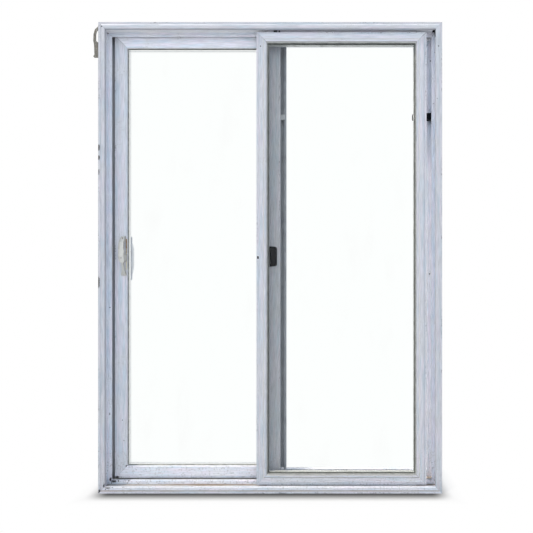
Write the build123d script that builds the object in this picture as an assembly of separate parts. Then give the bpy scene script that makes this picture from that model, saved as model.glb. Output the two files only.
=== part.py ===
from build123d import *
from collections import namedtuple
import os

# Sliding patio door: a welded frame, a fixed panel in its outer channel and a sliding
# panel in its inner channel. Millimetres. The origin is the middle of the sill's
# underside, X runs to the right as seen from outside, Y towards the room and Z up.
# A depth is measured from the frame's outside face.

# Frame
FRAME_WIDTH = 1481.0
FRAME_HEIGHT = 2030.0
FRAME_DEPTH = 146.0
FRAME_WALL = 12.0
OUTER_LEG_INSET = 28.0
OUTER_LEG_THICKNESS = 12.0
MIDDLE_LEG_INSET = 30.4
MIDDLE_LEG_DEPTH = 55.0
MIDDLE_LEG_THICKNESS = 8.0
INNER_LEG_INSET = 32.0
INNER_LEG_THICKNESS = 18.0
SILL_UPSTAND = 45.5
FACE_LINE_INSET = 10.0
FACE_LINE_WIDTH = 3.0
FACE_LINE_DEPTH = 1.2
LEG_BEVEL = 2.5
LEG_ROUND = 1.5
INSTALL_HOLE_RADIUS = 2.5
INSTALL_HOLE_DEPTH = 49.0
INSTALL_HOLE_HEIGHTS = (334.0, 1509.0)

# Sealed glass unit, the same in both panels
PANE = 3.0
PANE_GAP = 14.0
SPACER_SETBACK = 3.0

# Where the panels lie: each runs from its gap beside the frame's wall to the overlap
PANEL_OVERLAP = 97.5
OVERLAP_CENTRE = -13.25
FIXED_JAMB_GAP = 50.5
FIXED_SILL_GAP = 16.5
FIXED_HEAD_GAP = 20.5
SLIDING_JAMB_GAP = 25.0
SLIDING_HEAD_GAP = 5.0
RAIL_CLEARANCE = 10.5

# Fixed panel
FIXED_CLEARANCE = 3.0
FIXED_THICKNESS = 35.0
FIXED_FACE = 44.0
FIXED_LIP = 5.0
FIXED_GASKET = 2.0
FIXED_GASKET_REACH = 4.0
FIXED_BITE = 8.0
FIXED_POCKET = 13.0
FIXED_SPACER_REACH = 10.0
FIXED_STEP_WIDTH = 10.0
FIXED_STEP_DEPTH = 4.0
TONGUE_SETBACK = 11.0
TONGUE_THICKNESS = 14.0

# Sliding panel
SLIDING_CLEARANCE = 7.0
SLIDING_THICKNESS = 44.0
SLIDING_FACE = 56.0
SLIDING_LIP = 8.0
SLIDING_GASKET = 3.0
SLIDING_GASKET_REACH = 1.5
SLIDING_BITE = 18.0
SLIDING_POCKET = 20.0
SLIDING_SPACER_REACH = -5.0
EDGE_GROOVE_WIDTH = 16.0
EDGE_GROOVE_DEPTH = 18.0
RAIL_SETBACK_HEIGHT = 12.5
RAIL_SETBACK_DEPTH = 6.0
BEAD_REACH = 3.0

# Track and rollers
RAIL_HEIGHT = 8.0
RAIL_WIDTH = 4.0
RAIL_FOOT_WIDTH = 14.0
RAIL_FOOT_HEIGHT = 2.0
GUIDE_DROP = 13.0
TRACK_SEAL_HEIGHT = 9.0
TRACK_SEAL_THICKNESS = 2.0
RUNNING_GAP = 0.3
WHEEL_RADIUS = 12.0
WHEEL_GROOVE_RADIUS = 10.0
WHEEL_GROOVE_WIDTH = 5.0
WHEEL_WIDTH = 8.0
AXLE_RADIUS = 2.5
AXLE_CLEARANCE = 0.1
HOUSING_LENGTH = 64.0
HOUSING_SHEET = 1.5
HOUSING_BOTTOM = 25.0
HOUSING_INSET = 95.0

# Interlock fin on the sliding meeting stile, with its pad and the stop that it meets
FIN_SHEET = 3.0
FIN_FLANGE = 27.0
FIN_CHANNEL_DEPTH = 17.0
FIN_CHANNEL_WIDTH = 14.5
FIN_LIP_WIDTH = 9.5
FIN_LIP_DEPTH = 28.0
FIN_SETBACK = 4.0
FIN_END_GAP = 5.5
BUMP_HEIGHT = 1662.0
PAD_HEIGHT = 23.0
PAD_REACH = 18.5
PAD_OVERHANG = 6.0
STOP_HEIGHT = 29.0
STOP_LENGTH = 91.0
STOP_DEPTH = 22.0
STOP_PLATE = 4.0
MEETING_SEAL_WIDTH = 8.0
MEETING_SEAL_INSET = 2.0
MEETING_SEAL_THICKNESS = 8.0

# Handles and locks
GRIP_HEIGHT = 1016.0
PULL_WIDTH = 25.0
PULL_INSET = 30.0
PULL_REACH = 35.0
INNER_PLATE_WIDTH = 32.0
INNER_PLATE_HEIGHT = 200.0
INNER_PLATE_THICKNESS = 4.0
INNER_PULL_WIDTH = 18.0
INNER_PULL_HEIGHT = 150.0
INNER_PULL_REACH = 34.0
INNER_PULL_BAR = 12.0
THUMB_WIDTH = 8.0
THUMB_HEIGHT = 22.0
THUMB_REACH = 12.0
THUMB_DROP = 14.0
LOCK_BODY_HEIGHT = 160.0
LOCK_SLOT_WIDTH = 6.0
LOCK_SLOT_HEIGHT = 44.0
LOCK_SLOT_DEPTH = 10.0
KEEPER_WIDTH = 22.0
KEEPER_HEIGHT = 120.0
KEEPER_THICKNESS = 2.0
LATCH_LEFT = -24.0
LATCH_WIDTH = 46.5
LATCH_HEIGHT = 94.0
LATCH_CENTRE = 1023.0
LATCH_THICKNESS = 12.0
LATCH_ROUND = 9.0
LATCH_BEVEL = 3.0

# Metal strap left on the outside of the left jamb
STRAP_SHEET = 2.0
STRAP_LEG = 30.0
STRAP_FRONT = 18.0
STRAP_DROP = 6.0
STRAP_HEIGHT = 138.0

Rect = namedtuple("Rect", "left right bottom top")
Panel = namedtuple("Panel", "name rect front face lip gasket gasket_reach bite pocket "
                            "spacer_reach thickness")

FRAME_RECT = Rect(-FRAME_WIDTH / 2, FRAME_WIDTH / 2, 0.0, FRAME_HEIGHT)
WALLS = Rect(FRAME_RECT.left + FRAME_WALL, FRAME_RECT.right - FRAME_WALL, FRAME_WALL,
             FRAME_HEIGHT - FRAME_WALL)
FIXED_FRONT = OUTER_LEG_THICKNESS + FIXED_CLEARANCE
MIDDLE_LEG_BACK = MIDDLE_LEG_DEPTH + MIDDLE_LEG_THICKNESS
SLIDING_FRONT = MIDDLE_LEG_BACK + SLIDING_CLEARANCE
SLIDING_REAR = SLIDING_FRONT + SLIDING_THICKNESS
TRACK_DEPTH = SLIDING_FRONT + SLIDING_THICKNESS / 2
RAIL_TOP = WALLS.bottom + RAIL_HEIGHT
INNER_LEG_DEPTH = FRAME_DEPTH - INNER_LEG_THICKNESS
SIDES = ("left", "right", "bottom", "top")
FIXED = Panel(
    "fixed",
    Rect(OVERLAP_CENTRE - PANEL_OVERLAP / 2, WALLS.right - FIXED_JAMB_GAP,
         WALLS.bottom + FIXED_SILL_GAP, WALLS.top - FIXED_HEAD_GAP),
    FIXED_FRONT, FIXED_FACE, FIXED_LIP, FIXED_GASKET, FIXED_GASKET_REACH, FIXED_BITE,
    FIXED_POCKET, FIXED_SPACER_REACH, FIXED_THICKNESS)
SLIDING = Panel(
    "sliding",
    Rect(WALLS.left + SLIDING_JAMB_GAP, OVERLAP_CENTRE + PANEL_OVERLAP / 2,
         RAIL_TOP + RAIL_CLEARANCE, WALLS.top - SLIDING_HEAD_GAP),
    SLIDING_FRONT, SLIDING_FACE, SLIDING_LIP, SLIDING_GASKET, SLIDING_GASKET_REACH,
    SLIDING_BITE, SLIDING_POCKET, SLIDING_SPACER_REACH, SLIDING_THICKNESS)


def y_at(depth):
    return depth - FRAME_DEPTH / 2


def around(centre, size):
    return centre - size / 2, centre + size / 2


def block(x, depth, z):
    """A box between (low, high) pairs of X, depth and Z."""
    lows, highs = zip(x, (y_at(depth[0]), y_at(depth[1])), z)
    centre = [(low + high) / 2 for low, high in zip(lows, highs)]
    size = [high - low for low, high in zip(lows, highs)]
    return Pos(*centre) * Box(*size)


def section(points, rounds=()):
    """A flat profile; rounds lists (corner number, radius) pairs."""
    outline = make_face(Polyline(*points, close=True))
    for corner, radius in rounds:
        vertex = outline.vertices().sort_by_distance(points[corner])[0]
        outline = fillet(vertex, radius)
    return outline


def side_plane(side, rect, front):
    """The start plane of a ring's bar: its x is the inset and its y the depth."""
    y = y_at(front)
    planes = {
        "left": ((rect.left, y, rect.bottom), (1, 0, 0), (0, 0, 1)),
        "right": ((rect.right, y, rect.top), (-1, 0, 0), (0, 0, -1)),
        "bottom": ((rect.right, y, rect.bottom), (0, 0, 1), (-1, 0, 0)),
        "top": ((rect.left, y, rect.top), (0, 0, -1), (1, 0, 0)),
    }
    origin, inset_way, run_way = planes[side]
    return Plane(origin=origin, x_dir=inset_way, z_dir=run_way)


def mitre_prism(side, rect, front, reach, depth):
    """The wedge between the mitres at both ends of a bar."""
    inner = Rect(rect.left + reach, rect.right - reach, rect.bottom + reach, rect.top - reach)
    low_left, low_right = (rect.left, rect.bottom), (rect.right, rect.bottom)
    top_left, top_right = (rect.left, rect.top), (rect.right, rect.top)
    in_low_left, in_low_right = (inner.left, inner.bottom), (inner.right, inner.bottom)
    in_top_left, in_top_right = (inner.left, inner.top), (inner.right, inner.top)
    corners = {
        "left": (low_left, in_low_left, in_top_left, top_left),
        "right": (low_right, in_low_right, in_top_right, top_right),
        "bottom": (low_left, low_right, in_low_right, in_low_left),
        "top": (top_left, top_right, in_top_right, in_top_left),
    }[side]
    outline = make_face(Polyline(*[(x, y_at(front), z) for x, z in corners], close=True))
    return extrude(outline, amount=depth, dir=(0, 1, 0))


def mitred_bar(side, profile, rect, front):
    """A bar of a rectangular ring, cut at 45 degrees at both ends."""
    plane = side_plane(side, rect, front)
    upright = side in ("left", "right")
    length = rect.top - rect.bottom if upright else rect.right - rect.left
    bar = extrude(plane * profile, amount=length, dir=plane.z_dir)
    low, high = profile.bounding_box().min, profile.bounding_box().max
    return bar & mitre_prism(side, rect, front + low.Y, high.X, high.Y - low.Y)


def ring(profile, rect, front):
    """Four mitred bars joined into one closed ring."""
    bars = [mitred_bar(side, profile, rect, front) for side in SIDES]
    return bars[0] + bars[1] + bars[2] + bars[3]


def frame_profile():
    """The frame's section: a wall and three legs, with a line in the outside face."""
    line_end = FACE_LINE_INSET + FACE_LINE_WIDTH
    points = [
        (0, 0), (FACE_LINE_INSET, 0), (FACE_LINE_INSET, FACE_LINE_DEPTH),
        (line_end, FACE_LINE_DEPTH), (line_end, 0), (OUTER_LEG_INSET - LEG_BEVEL, 0),
        (OUTER_LEG_INSET, LEG_BEVEL), (OUTER_LEG_INSET, OUTER_LEG_THICKNESS),
        (FRAME_WALL, OUTER_LEG_THICKNESS), (FRAME_WALL, MIDDLE_LEG_DEPTH),
        (MIDDLE_LEG_INSET, MIDDLE_LEG_DEPTH), (MIDDLE_LEG_INSET, MIDDLE_LEG_BACK),
        (FRAME_WALL, MIDDLE_LEG_BACK), (FRAME_WALL, INNER_LEG_DEPTH),
        (INNER_LEG_INSET, INNER_LEG_DEPTH), (INNER_LEG_INSET, FRAME_DEPTH), (0, FRAME_DEPTH),
    ]
    tips = [(corner, LEG_ROUND) for corner in (7, 10, 11, 14, 15)]
    return section(points, tips)


def frame_members():
    """Head, sill and jambs; the sill's inner leg stands higher, as a dam."""
    profile = frame_profile()
    bars = {side: mitred_bar(side, profile, FRAME_RECT, 0.0) for side in SIDES}
    upstand = block(
        (FRAME_RECT.left + INNER_LEG_INSET, FRAME_RECT.right - INNER_LEG_INSET),
        (INNER_LEG_DEPTH, FRAME_DEPTH), (INNER_LEG_INSET - LEG_ROUND, SILL_UPSTAND))
    return {
        "head": bars["top"],
        "sill": bars["bottom"] + upstand,
        "jamb_left": bars["left"] - install_holes(FRAME_RECT.left, 1),
        "jamb_right": bars["right"] - install_holes(FRAME_RECT.right, -1),
    }


def install_holes(edge, inward):
    """Screw holes through a jamb's wall, in its outer channel."""
    drills = [
        Pos(edge + inward * FRAME_WALL / 2, y_at(INSTALL_HOLE_DEPTH), height)
        * Rot(0, 90, 0) * Cylinder(INSTALL_HOLE_RADIUS, FRAME_WALL * 1.5)
        for height in INSTALL_HOLE_HEIGHTS
    ]
    return drills[0] + drills[1]


def track():
    """The roller rail on the sill, the guide under the head and the seals behind the
    middle leg."""
    inside = (WALLS.left, WALLS.right)
    foot = block(inside, around(TRACK_DEPTH, RAIL_FOOT_WIDTH),
                 (WALLS.bottom, WALLS.bottom + RAIL_FOOT_HEIGHT))
    web = block(inside, around(TRACK_DEPTH, RAIL_WIDTH), (WALLS.bottom, RAIL_TOP))
    crown = web.edges().filter_by(Axis.X).group_by(Axis.Z)[-1]
    rail = foot + fillet(crown, RAIL_WIDTH * 0.4)
    guide = block(inside, around(TRACK_DEPTH, RAIL_WIDTH), (WALLS.top - GUIDE_DROP, WALLS.top))
    seal_depth = (MIDDLE_LEG_BACK, MIDDLE_LEG_BACK + TRACK_SEAL_THICKNESS)
    seal_run = (FRAME_RECT.left + MIDDLE_LEG_INSET, FRAME_RECT.right - MIDDLE_LEG_INSET)
    seal_from = MIDDLE_LEG_INSET - LEG_ROUND - TRACK_SEAL_HEIGHT
    low_seal = block(seal_run, seal_depth, (seal_from, seal_from + TRACK_SEAL_HEIGHT))
    top_seal = block(seal_run, seal_depth, (FRAME_HEIGHT - seal_from - TRACK_SEAL_HEIGHT,
                                            FRAME_HEIGHT - seal_from))
    return {"sill_rail": rail, "head_guide": guide, "sill_seal": low_seal, "head_seal": top_seal}


def fixed_profile():
    """The fixed panel's section, with an outer step, a face line and a glazing pocket."""
    pocket_floor = FIXED_FACE - FIXED_POCKET
    points = [
        (0, FIXED_STEP_DEPTH), (FIXED_STEP_WIDTH, FIXED_STEP_DEPTH), (FIXED_STEP_WIDTH + 2, 0),
        (FIXED_FACE - 14, 0), (FIXED_FACE - 13, 2), (FIXED_FACE - 11, 2), (FIXED_FACE - 10, 0),
        (FIXED_FACE - 3, 0), (FIXED_FACE, 2.5), (FIXED_FACE, FIXED_LIP),
        (pocket_floor, FIXED_LIP), (pocket_floor, FIXED_THICKNESS), (0, FIXED_THICKNESS),
    ]
    return section(points, [(2, 1.5), (7, 2.0), (12, 2.0)])


def sliding_profile():
    """The sliding panel's section, with an edge groove and a glazing pocket."""
    pocket_floor = SLIDING_FACE - SLIDING_POCKET
    groove_front, groove_back = around(SLIDING_THICKNESS / 2, EDGE_GROOVE_WIDTH)
    points = [
        (0, 1.5), (1.5, 0), (3.5, 0), (4.5, 1.5), (6.5, 1.5), (7.5, 0),
        (SLIDING_FACE - 8, 0), (SLIDING_FACE - 7.5, 1), (SLIDING_FACE - 6.5, 1),
        (SLIDING_FACE - 6, 0), (SLIDING_FACE - 2.5, 0), (SLIDING_FACE, 2.5),
        (SLIDING_FACE, SLIDING_LIP), (pocket_floor, SLIDING_LIP),
        (pocket_floor, SLIDING_THICKNESS), (0, SLIDING_THICKNESS),
        (0, groove_back), (EDGE_GROOVE_DEPTH, groove_back),
        (EDGE_GROOVE_DEPTH, groove_front), (0, groove_front),
    ]
    return section(points, [(10, 1.5), (15, 2.0)])


def tongue(edge, reach_to):
    """The tongue of a fixed rail, from the rail's edge to the frame's wall."""
    rect = FIXED.rect
    depth = (FIXED_FRONT + TONGUE_SETBACK, FIXED_FRONT + TONGUE_SETBACK + TONGUE_THICKNESS)
    return block((rect.left + FIXED_FACE, rect.right - FIXED_FACE), depth,
                 (min(edge, reach_to), max(edge, reach_to)))


def fixed_members():
    profile = fixed_profile()
    bars = {side: mitred_bar(side, profile, FIXED.rect, FIXED_FRONT) for side in SIDES}
    rect = FIXED.rect
    return {
        "fixed_top_rail": bars["top"] + tongue(rect.top, WALLS.top),
        "fixed_bottom_rail": bars["bottom"] + tongue(rect.bottom, WALLS.bottom),
        "fixed_meeting_stile": bars["left"],
        "fixed_jamb_stile": bars["right"],
    }


def sliding_members():
    """The bottom rail's lower front is set back, clear of the sill's middle leg."""
    profile = sliding_profile()
    bars = {side: mitred_bar(side, profile, SLIDING.rect, SLIDING_FRONT) for side in SIDES}
    rect = SLIDING.rect
    setback = block((rect.left, rect.right),
                    (SLIDING_FRONT, SLIDING_FRONT + RAIL_SETBACK_DEPTH),
                    (rect.bottom, rect.bottom + RAIL_SETBACK_HEIGHT))
    return {
        "sliding_top_rail": bars["top"],
        "sliding_bottom_rail": bars["bottom"] - setback,
        "sliding_lock_stile": bars["left"],
        "sliding_meeting_stile": bars["right"],
    }


def gasket_profile(panel):
    """A wedge gasket between the lip and the outer pane, with a rolled edge in view."""
    start = panel.face - panel.bite
    end = panel.face + panel.gasket_reach
    points = [
        (start, panel.lip), (panel.face, panel.lip), (panel.face, panel.lip - 1.5),
        (end - 0.5, panel.lip - 1.5), (end, panel.lip), (end, panel.lip + panel.gasket),
        (start, panel.lip + panel.gasket),
    ]
    return section(points)


def bead_profile(panel):
    """The snap-in bead that holds the glass from the room side."""
    start = panel.face - panel.pocket
    end = panel.face + BEAD_REACH
    front = panel.lip + panel.gasket + 2 * PANE + PANE_GAP
    slope = (panel.thickness - front) * 0.5
    points = [(start, front), (end, front), (end, front + 1.5),
              (end - slope, panel.thickness), (start, panel.thickness)]
    return section(points)


def pane(panel, back_of):
    rect = panel.rect
    edge = panel.face - panel.bite
    return block((rect.left + edge, rect.right - edge), (back_of, back_of + PANE),
                 (rect.bottom + edge, rect.top - edge))


def glazing(panel):
    """Both panes, the spacer between them, the gasket outside and the bead inside."""
    glass_front = panel.front + panel.lip + panel.gasket
    spacer_start = panel.face - panel.bite + SPACER_SETBACK
    spacer_end = panel.face + panel.spacer_reach
    spacer = section([(spacer_start, 0), (spacer_end, 0), (spacer_end, PANE_GAP),
                      (spacer_start, PANE_GAP)])
    name = panel.name
    return {
        name + "_outer_pane": pane(panel, glass_front),
        name + "_inner_pane": pane(panel, glass_front + PANE + PANE_GAP),
        name + "_spacer": ring(spacer, panel.rect, glass_front + PANE),
        name + "_gasket": ring(gasket_profile(panel), panel.rect, panel.front),
        name + "_bead": ring(bead_profile(panel), panel.rect, panel.front),
    }


def wheel(x):
    """A grooved wheel with its axle, seated on the rail's crown."""
    centre_z = RAIL_TOP + RUNNING_GAP + WHEEL_GROOVE_RADIUS
    half, groove, axle = WHEEL_WIDTH / 2, WHEEL_GROOVE_WIDTH / 2, EDGE_GROOVE_WIDTH / 2
    slope = WHEEL_RADIUS - WHEEL_GROOVE_RADIUS
    points = [
        (0, -axle), (AXLE_RADIUS, -axle), (AXLE_RADIUS, -half), (WHEEL_RADIUS, -half),
        (WHEEL_RADIUS, -groove), (WHEEL_GROOVE_RADIUS, -groove + slope * 0.2),
        (WHEEL_GROOVE_RADIUS, groove - slope * 0.2), (WHEEL_RADIUS, groove),
        (WHEEL_RADIUS, half), (AXLE_RADIUS, half), (AXLE_RADIUS, axle), (0, axle),
    ]
    plane = Plane(origin=(x, y_at(TRACK_DEPTH), centre_z), x_dir=(1, 0, 0), z_dir=(0, 0, 1))
    axis = Axis((x, y_at(TRACK_DEPTH), centre_z), (0, 1, 0))
    return revolve(plane * section(points), axis=axis)


def housing(x):
    """A channel of folded sheet in the rail's groove, drilled for the wheel's axle."""
    centre_z = RAIL_TOP + RUNNING_GAP + WHEEL_GROOVE_RADIUS
    top = SLIDING.rect.bottom + EDGE_GROOVE_DEPTH
    shell = block(around(x, HOUSING_LENGTH), around(TRACK_DEPTH, EDGE_GROOVE_WIDTH),
                  (HOUSING_BOTTOM, top))
    corners = shell.edges().filter_by(Axis.Y).group_by(Axis.Z)[0]
    shell = fillet(corners, (SLIDING.rect.bottom - HOUSING_BOTTOM) * 0.9)
    hollow = block(around(x, HOUSING_LENGTH),
                   around(TRACK_DEPTH, EDGE_GROOVE_WIDTH - 2 * HOUSING_SHEET),
                   (HOUSING_BOTTOM, top - HOUSING_SHEET))
    drill = Pos(x, y_at(TRACK_DEPTH), centre_z) * Rot(90, 0, 0) * Cylinder(
        AXLE_RADIUS + AXLE_CLEARANCE, EDGE_GROOVE_WIDTH)
    return shell - hollow - drill


def rollers():
    rect = SLIDING.rect
    places = {"left": rect.left + HOUSING_INSET, "right": rect.right - HOUSING_INSET}
    solids = {"roller_housing_" + side: housing(x) for side, x in places.items()}
    solids.update({"roller_wheel_" + side: wheel(x) for side, x in places.items()})
    return solids


def interlock_fin():
    """A folded strip behind the sliding meeting stile: flange, channel and return lip."""
    edge = SLIDING.rect.right
    sheet = FIN_SHEET
    channel_floor = FIN_SETBACK + FIN_CHANNEL_DEPTH
    lip_start = FIN_CHANNEL_WIDTH
    lip_end = lip_start + FIN_LIP_WIDTH
    points = [
        (-FIN_FLANGE, 0), (0, 0), (0, channel_floor - sheet), (lip_start, channel_floor - sheet),
        (lip_start, FIN_SETBACK), (lip_end, FIN_SETBACK), (lip_end, FIN_LIP_DEPTH + FIN_SETBACK),
        (lip_end - sheet, FIN_LIP_DEPTH + FIN_SETBACK), (lip_end - sheet, FIN_SETBACK + sheet),
        (lip_start + sheet, FIN_SETBACK + sheet), (lip_start + sheet, channel_floor),
        (-sheet, channel_floor), (-sheet, sheet), (-FIN_FLANGE, sheet),
    ]
    bottom = SILL_UPSTAND + FIN_END_GAP
    top = FRAME_HEIGHT - INNER_LEG_INSET - FIN_END_GAP
    plane = Plane(origin=(edge, y_at(SLIDING_REAR), bottom), x_dir=(1, 0, 0), z_dir=(0, 0, 1))
    return extrude(plane * section(points), amount=top - bottom, dir=(0, 0, 1))


def bump_parts():
    """The pad on the fin, and the stop that its fin meets when the panel is fully open."""
    edge = SLIDING.rect.right
    pad_back = SLIDING_REAR + FIN_SETBACK
    pad = block((edge, edge + PAD_REACH), (pad_back - PAD_OVERHANG, pad_back),
                around(BUMP_HEIGHT, PAD_HEIGHT))
    wall = WALLS.right
    stop_depth = (pad_back - STOP_DEPTH + FIN_SHEET, pad_back + FIN_SHEET)
    stop = block((wall - STOP_LENGTH, wall), stop_depth, around(BUMP_HEIGHT, STOP_HEIGHT))
    stop = fillet(stop.edges().filter_by(Axis.Y).group_by(Axis.X)[0], STOP_HEIGHT * 0.2)
    plate = block((wall - STOP_PLATE, wall), stop_depth, around(BUMP_HEIGHT, STOP_HEIGHT * 2))
    return {"fin_pad": pad, "panel_stop": stop + plate}


def meeting_seal():
    """The seal strip behind the fixed meeting stile, from sill to head inside the legs."""
    rear = FIXED_FRONT + FIXED_THICKNESS
    left = FIXED.rect.left + MEETING_SEAL_INSET
    return block((left, left + MEETING_SEAL_WIDTH), (rear, rear + MEETING_SEAL_THICKNESS),
                 (FIXED.rect.bottom + FIXED_FACE, FIXED.rect.top - FIXED_FACE))


def outline_prism(points, plane, depth, way):
    return extrude(plane * section(points), amount=depth, dir=way)


def exterior_pull():
    """A moulded pull: where its front outline and its side outline meet.

    Front points are (X from the pull's left edge, Z from its lower screw), side points
    are (reach from the stile's face, Z).
    """
    left = SLIDING.rect.left + PULL_INSET
    front = [
        (5, 97), (19, 97), (21, 80), (22, 40), (25, 34), (25, -18), (21, -22), (21, -58),
        (23, -71), (23, -78), (3, -78), (4, -70), (11, -52), (13, -22), (4, -14), (2, 0),
        (2, 34), (0, 42), (1, 82),
    ]
    side = [
        (0, 101), (9, 101), (27, 72), (PULL_REACH - 2, 40), (PULL_REACH, 10),
        (PULL_REACH - 4, -20), (13, -66), (8, -78), (0, -78), (0, -62), (7, -60),
        (22, -17), (22, -13), (0, -13), (0, 17), (22, 17), (21, 64), (7, 80), (0, 80),
    ]
    front_plane = Plane(origin=(left, y_at(SLIDING_FRONT - PULL_REACH), GRIP_HEIGHT),
                        x_dir=(1, 0, 0), z_dir=(0, -1, 0))
    side_plane_ = Plane(origin=(left, y_at(SLIDING_FRONT), GRIP_HEIGHT),
                        x_dir=(0, -1, 0), z_dir=(-1, 0, 0))
    front_form = outline_prism(front, front_plane, PULL_REACH, (0, 1, 0))
    side_form = outline_prism(side, side_plane_, PULL_WIDTH, (1, 0, 0))
    return front_form & side_form


def interior_set():
    """The room-side plate, its bow pull and its thumb latch."""
    centre = SLIDING.rect.left + PULL_INSET + PULL_WIDTH / 2
    plate_back = SLIDING_REAR + INNER_PLATE_THICKNESS
    plate = block(around(centre, INNER_PLATE_WIDTH), (SLIDING_REAR, plate_back),
                  around(GRIP_HEIGHT, INNER_PLATE_HEIGHT))
    plate = fillet(plate.edges().filter_by(Axis.Y), INNER_PLATE_WIDTH * 0.2)
    half = INNER_PULL_HEIGHT / 2
    reach, bar = INNER_PULL_REACH, INNER_PULL_BAR
    bow = [(0, half), (reach * 0.5, half), (reach, half * 0.6), (reach, -half * 0.6),
           (reach * 0.5, -half), (0, -half), (0, -half + bar), (reach * 0.4, -half + bar),
           (reach - bar, -half * 0.5), (reach - bar, half * 0.5), (reach * 0.4, half - bar),
           (0, half - bar)]
    plane = Plane(origin=(centre - INNER_PULL_WIDTH / 2, y_at(plate_back), GRIP_HEIGHT),
                  x_dir=(0, 1, 0), z_dir=(1, 0, 0))
    pull = extrude(plane * section(bow, [(1, 8.0), (2, 8.0), (3, 8.0), (4, 8.0)]),
                   amount=INNER_PULL_WIDTH, dir=(1, 0, 0))
    thumb_z = GRIP_HEIGHT + half + THUMB_DROP - THUMB_HEIGHT / 2
    thumb = block(around(centre, THUMB_WIDTH), (plate_back, plate_back + THUMB_REACH),
                  (thumb_z, thumb_z + THUMB_HEIGHT))
    return {"interior_plate": plate, "interior_pull": pull, "thumb_latch": thumb}


def locks():
    """The mortise lock in the stile's groove and its keeper on the jamb's wall."""
    edge = SLIDING.rect.left
    body = block((edge, edge + EDGE_GROOVE_DEPTH), around(TRACK_DEPTH, EDGE_GROOVE_WIDTH),
                 around(GRIP_HEIGHT, LOCK_BODY_HEIGHT))
    slot = block((edge, edge + LOCK_SLOT_DEPTH), around(TRACK_DEPTH, LOCK_SLOT_WIDTH),
                 around(GRIP_HEIGHT, LOCK_SLOT_HEIGHT))
    wall = WALLS.left
    keeper = block((wall, wall + KEEPER_THICKNESS), around(TRACK_DEPTH, KEEPER_WIDTH),
                   around(GRIP_HEIGHT, KEEPER_HEIGHT))
    keeper_slot = block((wall, wall + KEEPER_THICKNESS), around(TRACK_DEPTH, LOCK_SLOT_WIDTH),
                        around(GRIP_HEIGHT, LOCK_SLOT_HEIGHT))
    return {"mortise_lock": body - slot, "strike_keeper": keeper - keeper_slot}


def night_latch():
    """The black latch body on the sliding meeting stile, narrower towards its outer end."""
    low, high = around(LATCH_CENTRE, LATCH_HEIGHT)
    taper = LATCH_HEIGHT * 0.05
    points = [(0, low), (LATCH_WIDTH, low + taper), (LATCH_WIDTH, high - taper), (0, high)]
    plane = Plane(origin=(LATCH_LEFT, y_at(SLIDING_FRONT - LATCH_THICKNESS), 0),
                  x_dir=(1, 0, 0), z_dir=(0, -1, 0))
    outline = section(points, [(1, LATCH_ROUND), (2, LATCH_ROUND)])
    body = extrude(plane * outline, amount=LATCH_THICKNESS, dir=(0, 1, 0))
    front_edges = body.faces().sort_by(Axis.Y)[0].edges()
    return chamfer(front_edges, LATCH_BEVEL)


def anchor_strap():
    """A torn angle of sheet metal on the left jamb: a flat leg and a holed plate."""
    edge = FRAME_RECT.left
    height = STRAP_HEIGHT
    bottom = FRAME_RECT.top - STRAP_DROP - height
    leg = block((edge - STRAP_SHEET, edge), (STRAP_FRONT, STRAP_FRONT + STRAP_LEG),
                (bottom, bottom + height))
    outline = section([
        (0, 0), (26, 0), (31, 6), (26, 14), (28, 60), (31, 72), (30, 102), (24, height - 15),
        (10, height - 2), (0, height)], [(1, 2.0), (4, 8.0), (6, 12.0), (7, 8.0)])
    hole = section([(4, 73), (10, 66), (19, 74), (19, 102), (14, 117), (4, 121)],
                   [(2, 4.0), (4, 6.0)])
    plane = Plane(origin=(edge, y_at(STRAP_FRONT + STRAP_SHEET), bottom),
                  x_dir=(-1, 0, 0), z_dir=(0, 1, 0))
    plate = extrude(plane * (outline - hole), amount=STRAP_SHEET, dir=(0, -1, 0))
    return leg + plate


def build():
    parts = {}
    parts.update(frame_members())
    parts.update(track())
    parts.update(fixed_members())
    parts.update(glazing(FIXED))
    parts["meeting_seal"] = meeting_seal()
    parts["anchor_strap"] = anchor_strap()
    parts.update(sliding_members())
    parts.update(glazing(SLIDING))
    parts.update(rollers())
    parts["interlock_fin"] = interlock_fin()
    parts.update(bump_parts())
    parts["exterior_pull"] = exterior_pull()
    parts.update(interior_set())
    parts.update(locks())
    parts["night_latch"] = night_latch()
    return parts


os.makedirs("parts", exist_ok=True)
for node, shape in build().items():
    export_step(shape, "parts/" + node + ".step")
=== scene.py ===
"""Dresses a sliding patio door: weathered vinyl, clear glass, worn fittings and a plain stage.

Sizes are in metres, in the frame of the CAD part: X to the right seen from outside,
+Y towards the room, Z up. Depths are measured back from the front face of the frame.
"""
import math
import random

import bmesh
import bpy
from bpy.props import FloatProperty, FloatVectorProperty, IntProperty, PointerProperty
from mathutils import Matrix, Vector
from mathutils.bvhtree import BVHTree


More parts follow.
